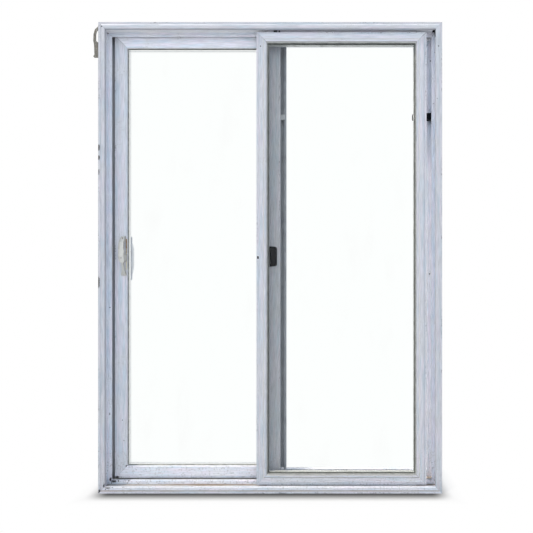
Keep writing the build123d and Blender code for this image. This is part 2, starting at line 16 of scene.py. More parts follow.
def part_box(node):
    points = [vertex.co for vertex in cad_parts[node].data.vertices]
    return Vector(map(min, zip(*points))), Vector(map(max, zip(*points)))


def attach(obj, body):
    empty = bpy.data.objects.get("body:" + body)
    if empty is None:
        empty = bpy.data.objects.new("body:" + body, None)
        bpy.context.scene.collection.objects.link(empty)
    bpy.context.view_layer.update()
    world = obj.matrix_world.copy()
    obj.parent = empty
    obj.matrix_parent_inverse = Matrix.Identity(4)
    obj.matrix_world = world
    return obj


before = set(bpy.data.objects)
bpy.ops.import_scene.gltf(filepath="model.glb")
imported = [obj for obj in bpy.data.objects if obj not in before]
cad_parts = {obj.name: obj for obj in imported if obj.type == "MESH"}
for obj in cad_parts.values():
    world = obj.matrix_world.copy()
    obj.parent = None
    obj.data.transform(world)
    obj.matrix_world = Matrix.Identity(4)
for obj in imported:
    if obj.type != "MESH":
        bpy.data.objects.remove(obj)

bl_info = {
    "name": "Sliding Patio Door",
    "version": (1, 0, 0),
    "blender": (4, 5, 0),
    "location": "View3D > Sidebar > Patio Door",
    "description": "Finishes and small fittings for a weathered sliding patio door",
    "category": "Object",
}


def reach(*nodes):
    """The lowest and highest corner of several CAD nodes together."""
    corners = [Vector(corner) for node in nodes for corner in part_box(node)]
    low = Vector([min(corner[axis] for corner in corners) for axis in range(3)])
    high = Vector([max(corner[axis] for corner in corners) for axis in range(3)])
    return low, high


FRAME_RING = reach("jamb_left", "jamb_right")
FIXED_RING = reach("fixed_meeting_stile", "fixed_jamb_stile")
SLIDING_RING = reach("sliding_lock_stile", "sliding_meeting_stile")
FRONT = FRAME_RING[0].y
TOWARDS_VIEWER = Vector((0, -1, 0))
TOWARDS_ROOM = Vector((0, 1, 0))
TO_THE_RIGHT = Vector((1, 0, 0))
TO_THE_LEFT = Vector((-1, 0, 0))


def at_depth(depth):
    """The Y of a depth behind the frame's front face."""
    return FRONT + depth


def shaded(tone, factor):
    """A colour made darker, or lighter by a factor over 1."""
    return [part * factor for part in tone]


def between(box, from_bottom, from_top):
    """Two heights in a box, measured from its ends."""
    return box[0][2] + from_bottom, box[1][2] - from_top


# ---------------------------------------------------------------- places seen on the door

# Dark spots on front faces: X, Z, half width, half height.
JAMB_MARKS = (
    (-0.7350, 0.0080, 0.0048, 0.0100), (-0.7262, 2.0120, 0.0028, 0.0032),
    (0.7246, 1.9270, 0.0022, 0.0028), (0.7190, 1.7010, 0.0015, 0.0020),
    (-0.7115, 0.0330, 0.0085, 0.0095), (-0.7375, 1.4900, 0.0040, 0.0140),
    (-0.7375, 1.4470, 0.0040, 0.0100), (-0.7375, 1.3850, 0.0022, 0.0120),
    (-0.7375, 0.9090, 0.0034, 0.0260),
)
SILL_MARKS = (
    (-0.7000, 0.0270, 0.0125, 0.0062), (-0.6800, 0.0270, 0.0040, 0.0034),
    (-0.6335, 0.0280, 0.0042, 0.0026), (-0.7090, 0.0176, 0.0026, 0.0026),
)
STILE_MARKS = ((-0.6505, 0.0855, 0.0050, 0.0046), (-0.6985, 0.0345, 0.0060, 0.0070))
RAIL_MARKS = ((-0.6960, 0.0340, 0.0080, 0.0050),)

# Holes and chips: node, where the line to it starts, its direction, width, height.
FRAME_HOLES = (
    ("jamb_right", (0.7200, 0, 0.945), TOWARDS_ROOM, 0.0030, 0.0034),
    ("jamb_left", (-0.7170, -0.05, 0.7965), TOWARDS_ROOM, 0.0024, 0.0026),
    ("jamb_left", (-0.7180, -0.05, 0.3250), TOWARDS_ROOM, 0.0018, 0.0060),
    ("fixed_meeting_stile", (-0.0557, -1, 1.0170), TOWARDS_ROOM, 0.0044, 0.0085),
    ("fixed_meeting_stile", (-0.0442, -1, 1.9340), TOWARDS_ROOM, 0.0034, 0.0036),
    ("jamb_right", (0.5, at_depth(0.006), 1.5980), TO_THE_RIGHT, 0.0016, 0.0030),
    ("jamb_right", (0.5, at_depth(0.004), 1.5860), TO_THE_RIGHT, 0.0013, 0.0022),
)
PANEL_HOLES = (
    ("sliding_lock_stile", (-0.6686, -1, 0.2920), TOWARDS_ROOM, 0.0022, 0.0024),
    ("sliding_lock_stile", (-0.6618, -1, 0.2005), TOWARDS_ROOM, 0.0022, 0.0024),
)

# Where grit lies: left, right, near depth, far depth, height.
CHANNEL_FLOOR = 0.0122
GRIT_STRIPS = (
    (-0.726, 0.726, 0.038, 0.0545, CHANNEL_FLOOR),
    (-0.726, 0.726, 0.0635, 0.078, CHANNEL_FLOOR),
    (0.070, 0.726, 0.100, 0.127, CHANNEL_FLOOR),
    (-0.726, -0.700, 0.064, 0.127, CHANNEL_FLOOR),
    (-0.705, -0.690, 0.0555, 0.0625, 0.0305),
)

# Brushes: piece, seal, the rows' shares of its width, the tufts' lean and their length.
BRUSHES = (
    ("sill_brush", "sill_seal", (0.55, 0.85), (0, 0.75, 0.66), 0.0056),
    ("head_brush", "head_seal", (0.2, 0.5, 0.8), (0, 1, 0), 0.0040),
    ("meeting_brush", "meeting_seal", (0.25, 0.5, 0.75), (0, 1, 0), 0.0060),
)

# The strip of old glue beside the pull, in X and Z.
GLUE_LEFT, GLUE_RIGHT, GLUE_LOW, GLUE_HIGH = -0.6552, -0.6484, 0.962, 1.102

# The underside of the head's outer wall, and the underside of its front leg.
HEAD_CEILING, HEAD_LEG = 2.018, 2.0019

# How far inside its ring the trim of a glass unit starts.
TRIM_INSETS = {"sliding": 0.053, "fixed": 0.041}

# The depth of the middle of the sliding panel's track.
TRACK_DEPTH = 0.092

# What lies nearer than the first depth is an outermost face, and behind the second none is.
FACE_DEPTH, BEHIND_FACE = 0.0121, 0.0130

# The shaded channel: its depths, and its left end from where shade starts to where it is full.
CHANNEL_NEAR, CHANNEL_FAR = (0.064, 0.070), (0.131, 0.1285)
CHANNEL_END = (-0.66, -0.70)

# How far inside the outline the ridge of head and sill lies.
RIDGE_INSET = 0.0115


# ---------------------------------------------------------------- settings


def colour(name, description, default):
    """A colour property, linear."""
    return FloatVectorProperty(name=name, description=description, default=default,
                               subtype="COLOR", size=3, min=0.0, max=1.0)


def length(name, description, default):
    """A length property, in metres."""
    return FloatProperty(name=name, description=description, default=default,
                         unit="LENGTH", subtype="DISTANCE", min=0.0, precision=5)


def angle(name, description, degrees):
    """An angle property, given in degrees."""
    return FloatProperty(name=name, description=description, default=math.radians(degrees),
                         subtype="ANGLE")


def fraction(name, description, default, low=0.0):
    """A plain fraction up to 1."""
    return FloatProperty(name=name, description=description, default=default,
                         min=low, max=1.0, subtype="FACTOR")


def amount(name, description, default):
    """A plain amount of 0 or more."""
    return FloatProperty(name=name, description=description, default=default, min=0.0)


def fixed_seed(description, default):
    """A fixed seed."""
    return IntProperty(name="Seed", description=description, default=default, min=0)


class PatioDoorVinyl(bpy.types.PropertyGroup):
    """Sizes and colours of the weathered vinyl."""

    body: colour("Vinyl", "Plain colour of the white vinyl", (0.880, 0.905, 0.950))
    cool: colour("Cool streak", "Colour of the bluish streaks", (0.700, 0.820, 0.935))
    warm: colour("Chalky streak", "Colour of the chalky, lavender streaks",
                 (0.930, 0.880, 0.985))
    # Painted shade: how much darker the outermost faces are painted than the faces behind them.
    painted_front_shade: fraction("Weathering", "Brightness of the outermost faces over the others",
                         0.58)
    channel_shade: fraction("Channel shade", "Shade in the left end of the inner channel", 0.62)
    side_shade: fraction("Side shade", "Shade on the outer sides of the frame", 0.36)
    grime: colour("Grime", "Colour of old dirt on the faces", (0.330, 0.325, 0.315))
    joint: colour("Joint", "Colour of the dirt in the corner joints", (0.110, 0.110, 0.120))
    soil: colour("Soil", "Colour of the brown dirt that lies on the sill",
                 (0.300, 0.235, 0.170))
    # Painted highlight: the line along the head's ridge is painted in this light colour.
    ridge: colour("Ridge", "Colour of the clean ridge along the head", (0.960, 0.965, 0.975))
    speck: colour("Speck", "Colour of chips and specks", (0.045, 0.045, 0.050))
    streak_width: length("Streak width", "Width of one streak across a bar", 0.0060)
    streak_length: length("Streak length", "Length of one streak along a bar", 0.085)
    mitre_width: length("Mitre line", "Width of the dirty line at a corner joint", 0.0018)
    roughness: fraction("Roughness", "Roughness of clean vinyl", 0.42)


class PatioDoorGlazing(bpy.types.PropertyGroup):
    """Colours of the glass units and what holds them."""

    glass: colour("Glass", "Colour that the glass lets through", (0.990, 1.000, 0.996))
    film: colour("Film", "Colour of the faint film left on the glass", (0.955, 0.960, 0.955))
    spacer: colour("Spacer", "Colour of the aluminium spacer", (0.680, 0.700, 0.690))
    gasket: colour("Gasket", "Colour of the rubber gasket", (0.430, 0.440, 0.420))
    pile: colour("Pile", "Colour of the woven seals", (0.620, 0.620, 0.600))
    trim: colour("Edge trim", "Colour of the bright trim between the panes",
                 (0.930, 0.940, 0.940))


class PatioDoorMetal(bpy.types.PropertyGroup):
    """Colours of the metal parts."""

    track: colour("Track", "Colour of the rail and the guide", (0.620, 0.620, 0.620))
    fin: colour("Interlock fin", "Colour of the grey coat on the fin", (0.360, 0.385, 0.425))
    zinc: colour("Zinc", "Colour of the dull zinc sheet", (0.175, 0.170, 0.150))
    steel: colour("Steel", "Colour of locks and screws", (0.480, 0.475, 0.460))
    rust: colour("Rust", "Colour of rust on sheet and screws", (0.230, 0.110, 0.055))


class PatioDoorPlastic(bpy.types.PropertyGroup):
    """Colours of the plastic fittings."""

    cream: colour("Pull", "Colour of the aged cream pull", (0.560, 0.560, 0.525))
    cream_dirt: colour("Pull dirt", "Colour of the dirt on the pull", (0.300, 0.270, 0.225))
    white: colour("Room side", "Colour of the fittings on the room side",
                  (0.930, 0.935, 0.940))
    black: colour("Black", "Colour of the latch and the stop", (0.005, 0.006, 0.009))
    pad: colour("Pad", "Colour of the small pad on the fin", (0.600, 0.620, 0.640))
    nylon: colour("Wheel", "Colour of the nylon wheels", (0.640, 0.630, 0.590))


class PatioDoorScrews(bpy.types.PropertyGroup):
    """Sizes of the pan-head screws."""

    radius: length("Head radius", "Radius of a screw head", 0.0036)
    rise: fraction("Head rise", "Rise of a head over its radius", 0.42, 0.1)
    recess: fraction("Recess", "Depth of the recess over the radius", 0.30)
    seed: fixed_seed("Seed of how each screw is turned", 7)


class PatioDoorBrush(bpy.types.PropertyGroup):
    """Sizes of the pile on the woven seals."""

    spacing: length("Spacing", "Distance between two tufts along a seal", 0.0013)
    width: length("Tuft width", "Half the width of one tuft at its root", 0.00065)
    spread: fraction("Spread", "How far the tufts lean apart", 0.22)
    seed: fixed_seed("Seed of the tufts' leaning", 11)


class PatioDoorWear(bpy.types.PropertyGroup):
    """Sizes and colours of crumbs, holes and residue."""

    crumbs: amount("Crumbs", "Crumbs on one square metre", 9000.0)
    smallest: length("Smallest crumb", "Radius of the smallest crumb", 0.0003)
    largest: length("Largest crumb", "Radius of the largest crumb", 0.0014)
    seed: fixed_seed("Seed of the crumbs", 23)
    crumb: colour("Crumb", "Colour of the crumbs", (0.120, 0.100, 0.080))
    # Painted shade: the dark inside of a hole or chip, painted on a disc at the surface.
    hole: colour("Hole", "Colour inside a hole or chip", (0.012, 0.014, 0.020))
    glue_dark: colour("Old glue", "Colour of the glue at its top", (0.300, 0.200, 0.110))
    glue_pale: colour("Pale glue", "Colour of the glue at its bottom", (0.740, 0.700, 0.520))


class PatioDoorStage(bpy.types.PropertyGroup):
    """Camera, lamps and floor."""

    sun_strength: amount("Sun", "Strength of the soft sun", 2.05)
    sun_colour: colour("Sun colour", "Colour of the sun", (1.0, 0.90, 0.78))
    sun_bearing: angle("Sun bearing", "Angle of the sun to the left of the front", 55)
    sun_height: angle("Sun height", "Angle of the sun over the floor", 67)
    sun_size: angle("Sun size", "Angular size of the sun", 4)
    sky: colour("Sky", "Light of the surroundings", (0.45, 0.50, 0.59))
    broad_colour: colour("Broad light colour", "Colour of the two broad lights",
                         (0.92, 0.97, 1.0))
    front_strength: amount("Front light", "Strength of the light from the front", 1.85)
    front_height: angle("Front light height", "Angle of the front light over the floor", 10)
    front_size: angle("Front light size", "Angular size of the front light", 80)
    back_strength: amount("Back light", "Strength of the light from the room", 1.15)
    back_bearing: angle("Back light bearing", "Angle of the back light to the left", -140)
    back_height: angle("Back light height", "Angle of the back light over the floor", 20)
    back_size: angle("Back light size", "Angular size of the back light", 80)
    floor_tone: colour("Floor", "Colour of the floor where it is lit", (0.62, 0.62, 0.62))
    camera_place: FloatVectorProperty(name="Camera", description="Place of the camera",
                                      default=(0.2058, -1.873, 0.954), size=3,
                                      subtype="TRANSLATION", unit="LENGTH")
    lens: FloatProperty(name="Lens", description="Focal length in millimetres",
                        default=28.24, min=1.0)
    shift_x: FloatProperty(name="Shift X", description="Shift of the view to the right",
                           default=-0.0966)
    shift_y: FloatProperty(name="Shift Y", description="Shift of the view upwards",
                           default=0.0103)
    floor_size: length("Floor", "Half the width of the floor", 9.0)
    floor_gap: length("Floor gap", "Distance of the floor under the sill", 0.0005)
    shade_reach: length("Contact shade", "How far the contact shade reaches", 0.066)


GROUPS = {
    "patio_door_vinyl": PatioDoorVinyl,
    "patio_door_glazing": PatioDoorGlazing,
    "patio_door_metal": PatioDoorMetal,
    "patio_door_plastic": PatioDoorPlastic,
    "patio_door_screws": PatioDoorScrews,
    "patio_door_brush": PatioDoorBrush,
    "patio_door_wear": PatioDoorWear,
    "patio_door_stage": PatioDoorStage,
}


# ---------------------------------------------------------------- writing node trees


class Graph:
    """Adds nodes to one tree. Each call returns the new node's output socket."""

    def __init__(self, tree):
        self.tree = tree

    def node(self, kind, inputs=None, **settings):
        """A node with its settings, its inputs linked or set."""
        node = self.tree.nodes.new(kind)
        for name, value in settings.items():
            setattr(node, name, value)
        for key, value in (inputs or {}).items():
            if isinstance(value, bpy.types.NodeSocket):
                self.tree.links.new(value, node.inputs[key])
            else:
                node.inputs[key].default_value = value
        return node

    def place(self):
        """Object coordinates."""
        return self.node("ShaderNodeTexCoord").outputs["Object"]

    def split(self, vector):
        """The X, Y and Z of a vector."""
        return self.node("ShaderNodeSeparateXYZ", {0: vector}).outputs

    def stretch(self, vector, scale, move=(0, 0, 0)):
        """A vector scaled and moved along each axis."""
        return self.node("ShaderNodeMapping", {"Vector": vector, "Scale": scale,
                                               "Location": move}).outputs[0]

    def math(self, operation, a, b=0.0):
        """A Math node of two values."""
        return self.node("ShaderNodeMath", {0: a, 1: b}, operation=operation).outputs[0]

    def ramp(self, value, low, high, bottom=0.0, top=1.0):
        """A smooth step from low to high, which may run downwards."""
        return self.node("ShaderNodeMapRange", {"Value": value, "From Min": low,
                                                "From Max": high, "To Min": bottom,
                                                "To Max": top},
                         interpolation_type="SMOOTHSTEP").outputs[0]

    def noise(self, vector, scale, detail=2.0, roughness=0.5):
        """The value of a noise texture."""
        return self.node("ShaderNodeTexNoise", {"Vector": vector, "Scale": scale,
                                                "Detail": detail, "Roughness": roughness},
                         ).outputs[0]

    def mix(self, factor, a, b, blend="MIX"):
        """A colour between a and b."""
        made = self.node("ShaderNodeMix", data_type="RGBA", blend_type=blend)
        for index, value in ((0, factor), (6, a), (7, b)):
            if isinstance(value, bpy.types.NodeSocket):
                self.tree.links.new(value, made.inputs[index])
            elif index == 0:
                made.inputs[0].default_value = value
            else:
                made.inputs[index].default_value = (*value, 1.0)
        return made.outputs[2]

    def grey(self, value):
        """A grey of this brightness."""
        return self.node("ShaderNodeCombineColor", {0: value, 1: value, 2: value}).outputs[0]

    def dimmed(self, tone, value):
        """A colour times a brightness."""
        return self.mix(1.0, tone, self.grey(value), "MULTIPLY")

    def stored(self, name):
        """A vector stored on points."""
        return self.node("GeometryNodeInputNamedAttribute", {"Name": name},
                         data_type="FLOAT_VECTOR").outputs["Attribute"]

    def random(self, low, high, seed):
        """A random vector between two limits."""
        return self.node("FunctionNodeRandomValue", {0: low, 1: high, "Seed": seed},
                         data_type="FLOAT_VECTOR").outputs[0]

    def all_of(self, *masks):
        """Masks multiplied together."""
        result = masks[0]
        for mask in masks[1:]:
            result = self.math("MULTIPLY", result, mask)
        return result

    def facing(self):
        """The X, Y and Z of the surface's normal."""
        return self.split(self.node("ShaderNodeNewGeometry").outputs["Normal"])

    def bump(self, height, strength, distance):
        """A normal bent by a height."""
        return self.node("ShaderNodeBump", {"Height": height, "Strength": strength,
                                            "Distance": distance}).outputs[0]


def new_finish(name, constants=None):
    """A new material: its graph and its Principled shader with constant inputs set."""
    material = bpy.data.materials.new(name)
    material.use_nodes = True
    graph = Graph(material.node_tree)
    shader = material.node_tree.nodes["Principled BSDF"]
    for key, value in (constants or {}).items():
        shader.inputs[key].default_value = value
    return material, graph, shader


def connect(graph, shader, **links):
    """Links sockets to a shader's inputs, which are named in lower case."""
    for name, socket in links.items():
        graph.tree.links.new(socket, shader.inputs[name.replace("_", " ").title()])


def spots_on_front(graph, place, marks):
    """1 inside ragged ellipses on the front faces, each (x, z, half width, half height)."""
    x, _, z = graph.split(place)
    ragged = graph.ramp(graph.noise(place, 500.0, 2.0), 0.3, 0.7, -0.35, 0.35)
    front = graph.ramp(graph.facing()[1], -0.5, -0.9)
    found = None
    for middle_x, middle_z, wide, tall in marks:
        along_x = graph.math("DIVIDE", graph.math("SUBTRACT", x, middle_x), wide)
        along_z = graph.math("DIVIDE", graph.math("SUBTRACT", z, middle_z), tall)
        away = graph.math("ADD", graph.math("MULTIPLY", along_x, along_x),
                          graph.math("MULTIPLY", along_z, along_z))
        spot = graph.ramp(graph.math("ADD", away, ragged), 1.15, 0.80)
        found = spot if found is None else graph.math("MAXIMUM", found, spot)
    return graph.math("MULTIPLY", found, front)


def ring_insets(graph, place, ring):
    """How far a point lies inside a ring's outer edge, and how far from a corner's mitre."""
    low, high = ring
    x, _, z = graph.split(place)
    insets = []
    for value, start, end in ((x, low.x, high.x), (z, low.z, high.z)):
        from_middle = graph.math("ABSOLUTE", graph.math("SUBTRACT", value, (start + end) / 2))
        insets.append(graph.math("SUBTRACT", (end - start) / 2, from_middle))
    inset = graph.math("MINIMUM", *insets)
    return inset, graph.math("ABSOLUTE", graph.math("SUBTRACT", *insets))


def wear(node_names, material):
    """Gives CAD nodes a material."""
    for name in node_names:
        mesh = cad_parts[name].data
        mesh.materials.clear()
        mesh.materials.append(material)


# ---------------------------------------------------------------- finishes


def frame_shade(graph, place, inset, settings):
    """How dark the frame is: in the left end of its inner channel and on its outer sides."""
    x, y, _ = graph.split(place)
    near, far = map(at_depth, CHANNEL_NEAR), map(at_depth, CHANNEL_FAR)
    channel = graph.all_of(graph.ramp(y, *near), graph.ramp(y, *far),
                           graph.ramp(x, *CHANNEL_END),
                           graph.ramp(inset, 0.006, 0.010, 0.0, settings.channel_shade))
    sides = graph.ramp(inset, 0.0008, 0.0002, 0.0, settings.side_shade)
    return graph.math("MAXIMUM", channel, sides)


def weathered_and_shaded_vinyl(name, ring, along, settings, lines=(), tone=1.0, front=1.0, marks=()):
    """White vinyl with streaks along the bar, lines in its grooves, chips, joints, soil and
    painted shade.

    along is "X", "Z" or "" for a ring of bars. lines are (inset, colour) of the lines along
    the bar. tone dims a whole bar and front its outermost faces: both are painted shade, which
    gives one vinyl lighter and darker copies where more or less light falls. marks are dark
    spots on the front face, each (x, z, half width, half height).
    """
    material, graph, shader = new_finish(name)
    joint_dirt = 0.9 if ring is FIXED_RING else 0.4
    place = graph.place()
    _, depth, height = graph.split(place)
    inset, mitre = ring_insets(graph, place, ring)
    fine, long = 1 / settings.streak_width, 1 / settings.streak_length
    scale = {"X": (long, fine, fine), "Z": (fine, fine, long), "": (fine, fine, fine)}[along]
    run = graph.stretch(place, scale)
    streak = graph.noise(run, 0.42, 3.0, 0.65)
    thread = graph.noise(graph.stretch(run, (1, 1, 1), (7, 3, 5)), 1.7, 2.0)
    patch = graph.noise(place, 11.0, 3.0, 0.55)
    grain = graph.noise(place, 900.0, 1.0)
    tint = graph.mix(graph.ramp(streak, 0.36, 0.62), settings.cool, settings.warm)
    plain = graph.mix(graph.ramp(patch, 0.35, 0.70, 0.25, 0.85), tint, settings.body)
    # Painted light: each bar's tone, its darker outermost faces, and the painted shade of the
    # frame's channel and sides.
    painted_light_level = graph.ramp(depth, at_depth(BEHIND_FACE), at_depth(FACE_DEPTH), tone,
                          tone * front)
    if ring is FRAME_RING:
        shade = frame_shade(graph, place, inset, settings)
        painted_light_level = graph.math("MULTIPLY", painted_light_level, graph.math("SUBTRACT", 1.0, shade))
    pale = graph.math("MULTIPLY", painted_light_level, graph.ramp(thread, 0.30, 0.70, 0.87, 1.07))
    chalk_with_painted_shade = graph.dimmed(plain, pale)
    dirty_streak = graph.all_of(graph.ramp(thread, 0.60, 0.78, 0.0, 0.45),
                                graph.ramp(patch, 0.45, 0.65))
    painted = graph.mix(dirty_streak, chalk_with_painted_shade, settings.grime)
    for at, line_colour in lines:
        near = graph.math("ABSOLUTE", graph.math("SUBTRACT", inset, at))
        held = graph.all_of(graph.ramp(near, 0.0026, 0.0014),
                            graph.ramp(streak, 0.30, 0.60, 0.45, 0.95))
        painted = graph.mix(held, painted, line_colour)
    blotch = graph.all_of(graph.ramp(graph.noise(place, 150.0, 2.0, 0.6), 0.56, 0.66),
                          graph.math("MAXIMUM", graph.ramp(height, 0.30, 0.03, 0.0, 0.60),
                                     graph.ramp(patch, 0.54, 0.66, 0.0, 0.35)))
    painted = graph.mix(blotch, painted, settings.grime)
    joint = graph.all_of(graph.ramp(mitre, settings.mitre_width, settings.mitre_width * 0.3),
                         graph.ramp(patch, 0.40, 0.62, 0.08, joint_dirt))
    painted = graph.mix(joint, painted, settings.joint)
    up = graph.facing()[2]
    low_and_level = graph.all_of(graph.ramp(up, 0.55, 0.95), graph.ramp(height, 0.028, 0.020),
                                 graph.ramp(patch, 0.40, 0.66, 0.03, 0.22))
    painted = graph.mix(low_and_level, painted, settings.soil)
    arris = graph.all_of(graph.ramp(inset, 0.0070, 0.0030, 0.0, 0.75),
                         graph.ramp(inset, 0.0002, 0.0008),
                         graph.ramp(graph.noise(place, 170.0, 2.0, 0.6), 0.55, 0.64),
                         graph.ramp(graph.noise(place, 7.0, 1.0), 0.52, 0.60))
    stray = graph.all_of(graph.ramp(grain, 0.69, 0.74),
                         graph.ramp(graph.noise(place, 5.0, 1.0), 0.50, 0.70, 0.0, 0.8))
    chips = graph.math("MAXIMUM", arris, stray)
    if marks:
        chips = graph.math("MAXIMUM", chips, spots_on_front(graph, place, marks))
    painted = graph.mix(chips, painted, settings.speck)
    dull = graph.math("ADD", graph.ramp(patch, 0.3, 0.7, 0.0, 0.16),
                      graph.math("MULTIPLY", dirty_streak, 0.25))
    relief = graph.math("ADD", graph.math("MULTIPLY", thread, 0.6),
                        graph.math("MULTIPLY", grain, 0.3))
    relief = graph.math("SUBTRACT", relief, graph.math("MULTIPLY", chips, 0.8))
    relief = graph.math("SUBTRACT", relief, graph.math("MULTIPLY", joint, 0.5))
    connect(graph, shader, base_color=painted,
            roughness=graph.math("ADD", dull, settings.roughness),
            normal=graph.bump(relief, 0.35, 0.0004))
    return material


def clear_glass(settings):
    """Clear glass with a faint film, which lets shadow rays straight through."""
    material, graph, shader = new_finish("clear_glass", {
        "Roughness": 0.0, "IOR": 1.15, "Transmission Weight": 1.0})
    place = graph.place()
    smear = graph.noise(graph.stretch(place, (3.0, 3.0, 1.2)), 2.2, 4.0, 0.6)
    connect(graph, shader, base_color=graph.mix(graph.ramp(smear, 0.52, 0.80, 0.0, 0.35),
                                                settings.glass, settings.film))
    output = graph.tree.nodes["Material Output"]
    clear = graph.node("ShaderNodeBsdfTransparent").outputs[0]
    shadow = graph.node("ShaderNodeLightPath").outputs["Is Shadow Ray"]
    both = graph.node("ShaderNodeMixShader", {0: shadow, 1: shader.outputs[0], 2: clear})
    graph.tree.links.new(both.outputs[0], output.inputs["Surface"])
    return material


def speckled(name, plain, other, roughness, scale, relief, constants=None):
    """Rubber, nylon or moulded plastic: two close colours, fine grain and dust."""
    material, graph, shader = new_finish(name, constants)
    place = graph.place()
    cloud = graph.noise(place, scale * 0.05, 3.0, 0.6)
    grain = graph.noise(place, scale, 2.0)
    mixed = graph.mix(graph.ramp(cloud, 0.35, 0.68), plain, other)
    connect(graph, shader, base_color=mixed,
            roughness=graph.ramp(grain, 0.3, 0.7, roughness - 0.06, roughness + 0.08),
            normal=graph.bump(grain, relief, 0.0002))
    return material


def drawn_metal(name, plain, dirt, axis, roughness, metallic, dirty=0.35):
    """Extruded or rolled metal: fine lines along one axis and patches of dull dirt."""
    material, graph, shader = new_finish(name, {"Metallic": metallic})
    place = graph.place()
    scale = {"X": (12, 900, 900), "Z": (900, 900, 12)}[axis]
    lines = graph.noise(graph.stretch(place, scale), 1.0, 2.0)
    cloud = graph.noise(place, 26.0, 4.0, 0.6)
    shade = graph.ramp(lines, 0.3, 0.7, 0.88, 1.08)
    drawn = graph.dimmed(plain, shade)
    dull = graph.ramp(cloud, 0.48, 0.70, 0.0, dirty)
    connect(graph, shader, base_color=graph.mix(dull, drawn, dirt),
            roughness=graph.math("ADD", roughness, graph.math("MULTIPLY", dull, 0.5)),
            normal=graph.bump(lines, 0.25, 0.0002))
    return material


def bright_aluminium(tone):
    """Bright aluminium, a little cloudy."""
    material, graph, shader = new_finish("bright_aluminium", {"Metallic": 1.0})
    fine = graph.noise(graph.place(), 700.0, 2.0)
    cloud = graph.noise(graph.place(), 40.0, 2.0)
    connect(graph, shader, base_color=graph.mix(graph.ramp(cloud, 0.45, 0.70, 0.0, 0.5),
                                                tone, shaded(tone, 0.93)),
            roughness=graph.ramp(fine, 0.3, 0.7, 0.10, 0.20))
    return material


def dull_zinc(settings, grime):
    """Galvanised sheet: faint spangles, pale patches, dark stains and rust."""
    material, graph, shader = new_finish("zinc_sheet", {"Metallic": 0.55})
    place = graph.place()
    spangle = graph.node("ShaderNodeTexVoronoi", {"Vector": place, "Scale": 170.0})
    tone = graph.ramp(spangle.outputs["Distance"], 0.0, 0.8, 0.72, 1.10)
    zinc = graph.dimmed(settings.zinc, tone)
    cloud = graph.noise(place, 75.0, 4.0, 0.65)
    pale = graph.mix(graph.ramp(cloud, 0.54, 0.68, 0.0, 0.7), zinc, (0.34, 0.335, 0.31))
    stained = graph.mix(graph.ramp(cloud, 0.47, 0.36, 0.0, 0.85), pale, grime)
    rust = graph.all_of(graph.ramp(graph.noise(place, 130.0, 3.0), 0.58, 0.68),
                        graph.ramp(graph.noise(place, 24.0, 2.0), 0.48, 0.60, 0.0, 0.7))
    connect(graph, shader, base_color=graph.mix(rust, stained, settings.rust),
            roughness=graph.ramp(cloud, 0.3, 0.7, 0.62, 0.45),
            normal=graph.bump(cloud, 0.5, 0.0006))
    return material


def aged_cream(settings):
    """The old cream pull: sun-bleached plastic with brown dirt in its hollows and edges, and
    painted shade on its undersides.
    """
    material, graph, shader = new_finish("cream_plastic")
    place = graph.place()
    cloud = graph.noise(graph.stretch(place, (1.0, 1.0, 0.35)), 190.0, 3.0, 0.6)
    fleck = graph.noise(place, 640.0, 2.0)
    low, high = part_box("exterior_pull")
    x, y, _ = graph.split(place)
    near_left = graph.ramp(x, low[0] + 0.011, low[0] + 0.003, 0.0, 0.50)
    near_face = graph.ramp(y, high[1] - 0.014, high[1], 0.0, 0.75)
    # Painted shade: faces that look down are darkened in the brown of the dirt.
    under = graph.ramp(graph.facing()[2], -0.1, -0.7, 0.0, 0.6)
    dirt = graph.math("MAXIMUM", graph.math("MAXIMUM", near_left, near_face), under)
    dirt = graph.math("MULTIPLY", dirt, graph.ramp(cloud, 0.30, 0.60, 0.35, 1.0))
    dirt = graph.math("MAXIMUM", dirt, graph.ramp(cloud, 0.60, 0.72, 0.0, 0.55))
    dirty = graph.mix(dirt, settings.cream, settings.cream_dirt)
    specks = graph.ramp(fleck, 0.66, 0.72, 0.0, 0.8)
    connect(graph, shader, base_color=graph.mix(specks, dirty, (0.10, 0.085, 0.07)),
            roughness=graph.ramp(cloud, 0.3, 0.7, 0.42, 0.60),
            normal=graph.bump(cloud, 0.35, 0.0004))
    return material


def woven_pile(settings):
    """Dusty grey-beige pile."""
    material, graph, shader = new_finish("seal_pile", {"Sheen Weight": 0.35})
    place = graph.place()
    fibre = graph.noise(graph.stretch(place, (1.0, 0.4, 0.4)), 1500.0, 2.0)
    dust = graph.noise(place, 60.0, 3.0)
    light = graph.mix(graph.ramp(fibre, 0.3, 0.7), shaded(settings.pile, 0.62),
                      settings.pile)
    connect(graph, shader, base_color=graph.mix(graph.ramp(dust, 0.45, 0.7, 0.0, 0.5), light,
                                                (0.46, 0.43, 0.38)),
            roughness=graph.ramp(fibre, 0.0, 1.0, 0.85, 1.0),
            normal=graph.bump(fibre, 0.6, 0.0004))
    return material


def old_glue(settings, low, high):
    """Dried glue, brown at its top and pale yellow at its bottom."""
    material, graph, shader = new_finish("old_glue")
    place = graph.place()
    height = graph.split(place)[2]
    blotch = graph.noise(place, 260.0, 3.0, 0.6)
    fade = graph.math("ADD", graph.ramp(height, low, high),
                      graph.ramp(blotch, 0.3, 0.7, -0.3, 0.3))
    connect(graph, shader, base_color=graph.mix(graph.ramp(fade, 0.25, 0.95),
                                                settings.glue_pale, settings.glue_dark),
            roughness=graph.ramp(blotch, 0.3, 0.7, 0.45, 0.70),
            normal=graph.bump(blotch, 0.5, 0.0003))
    return material


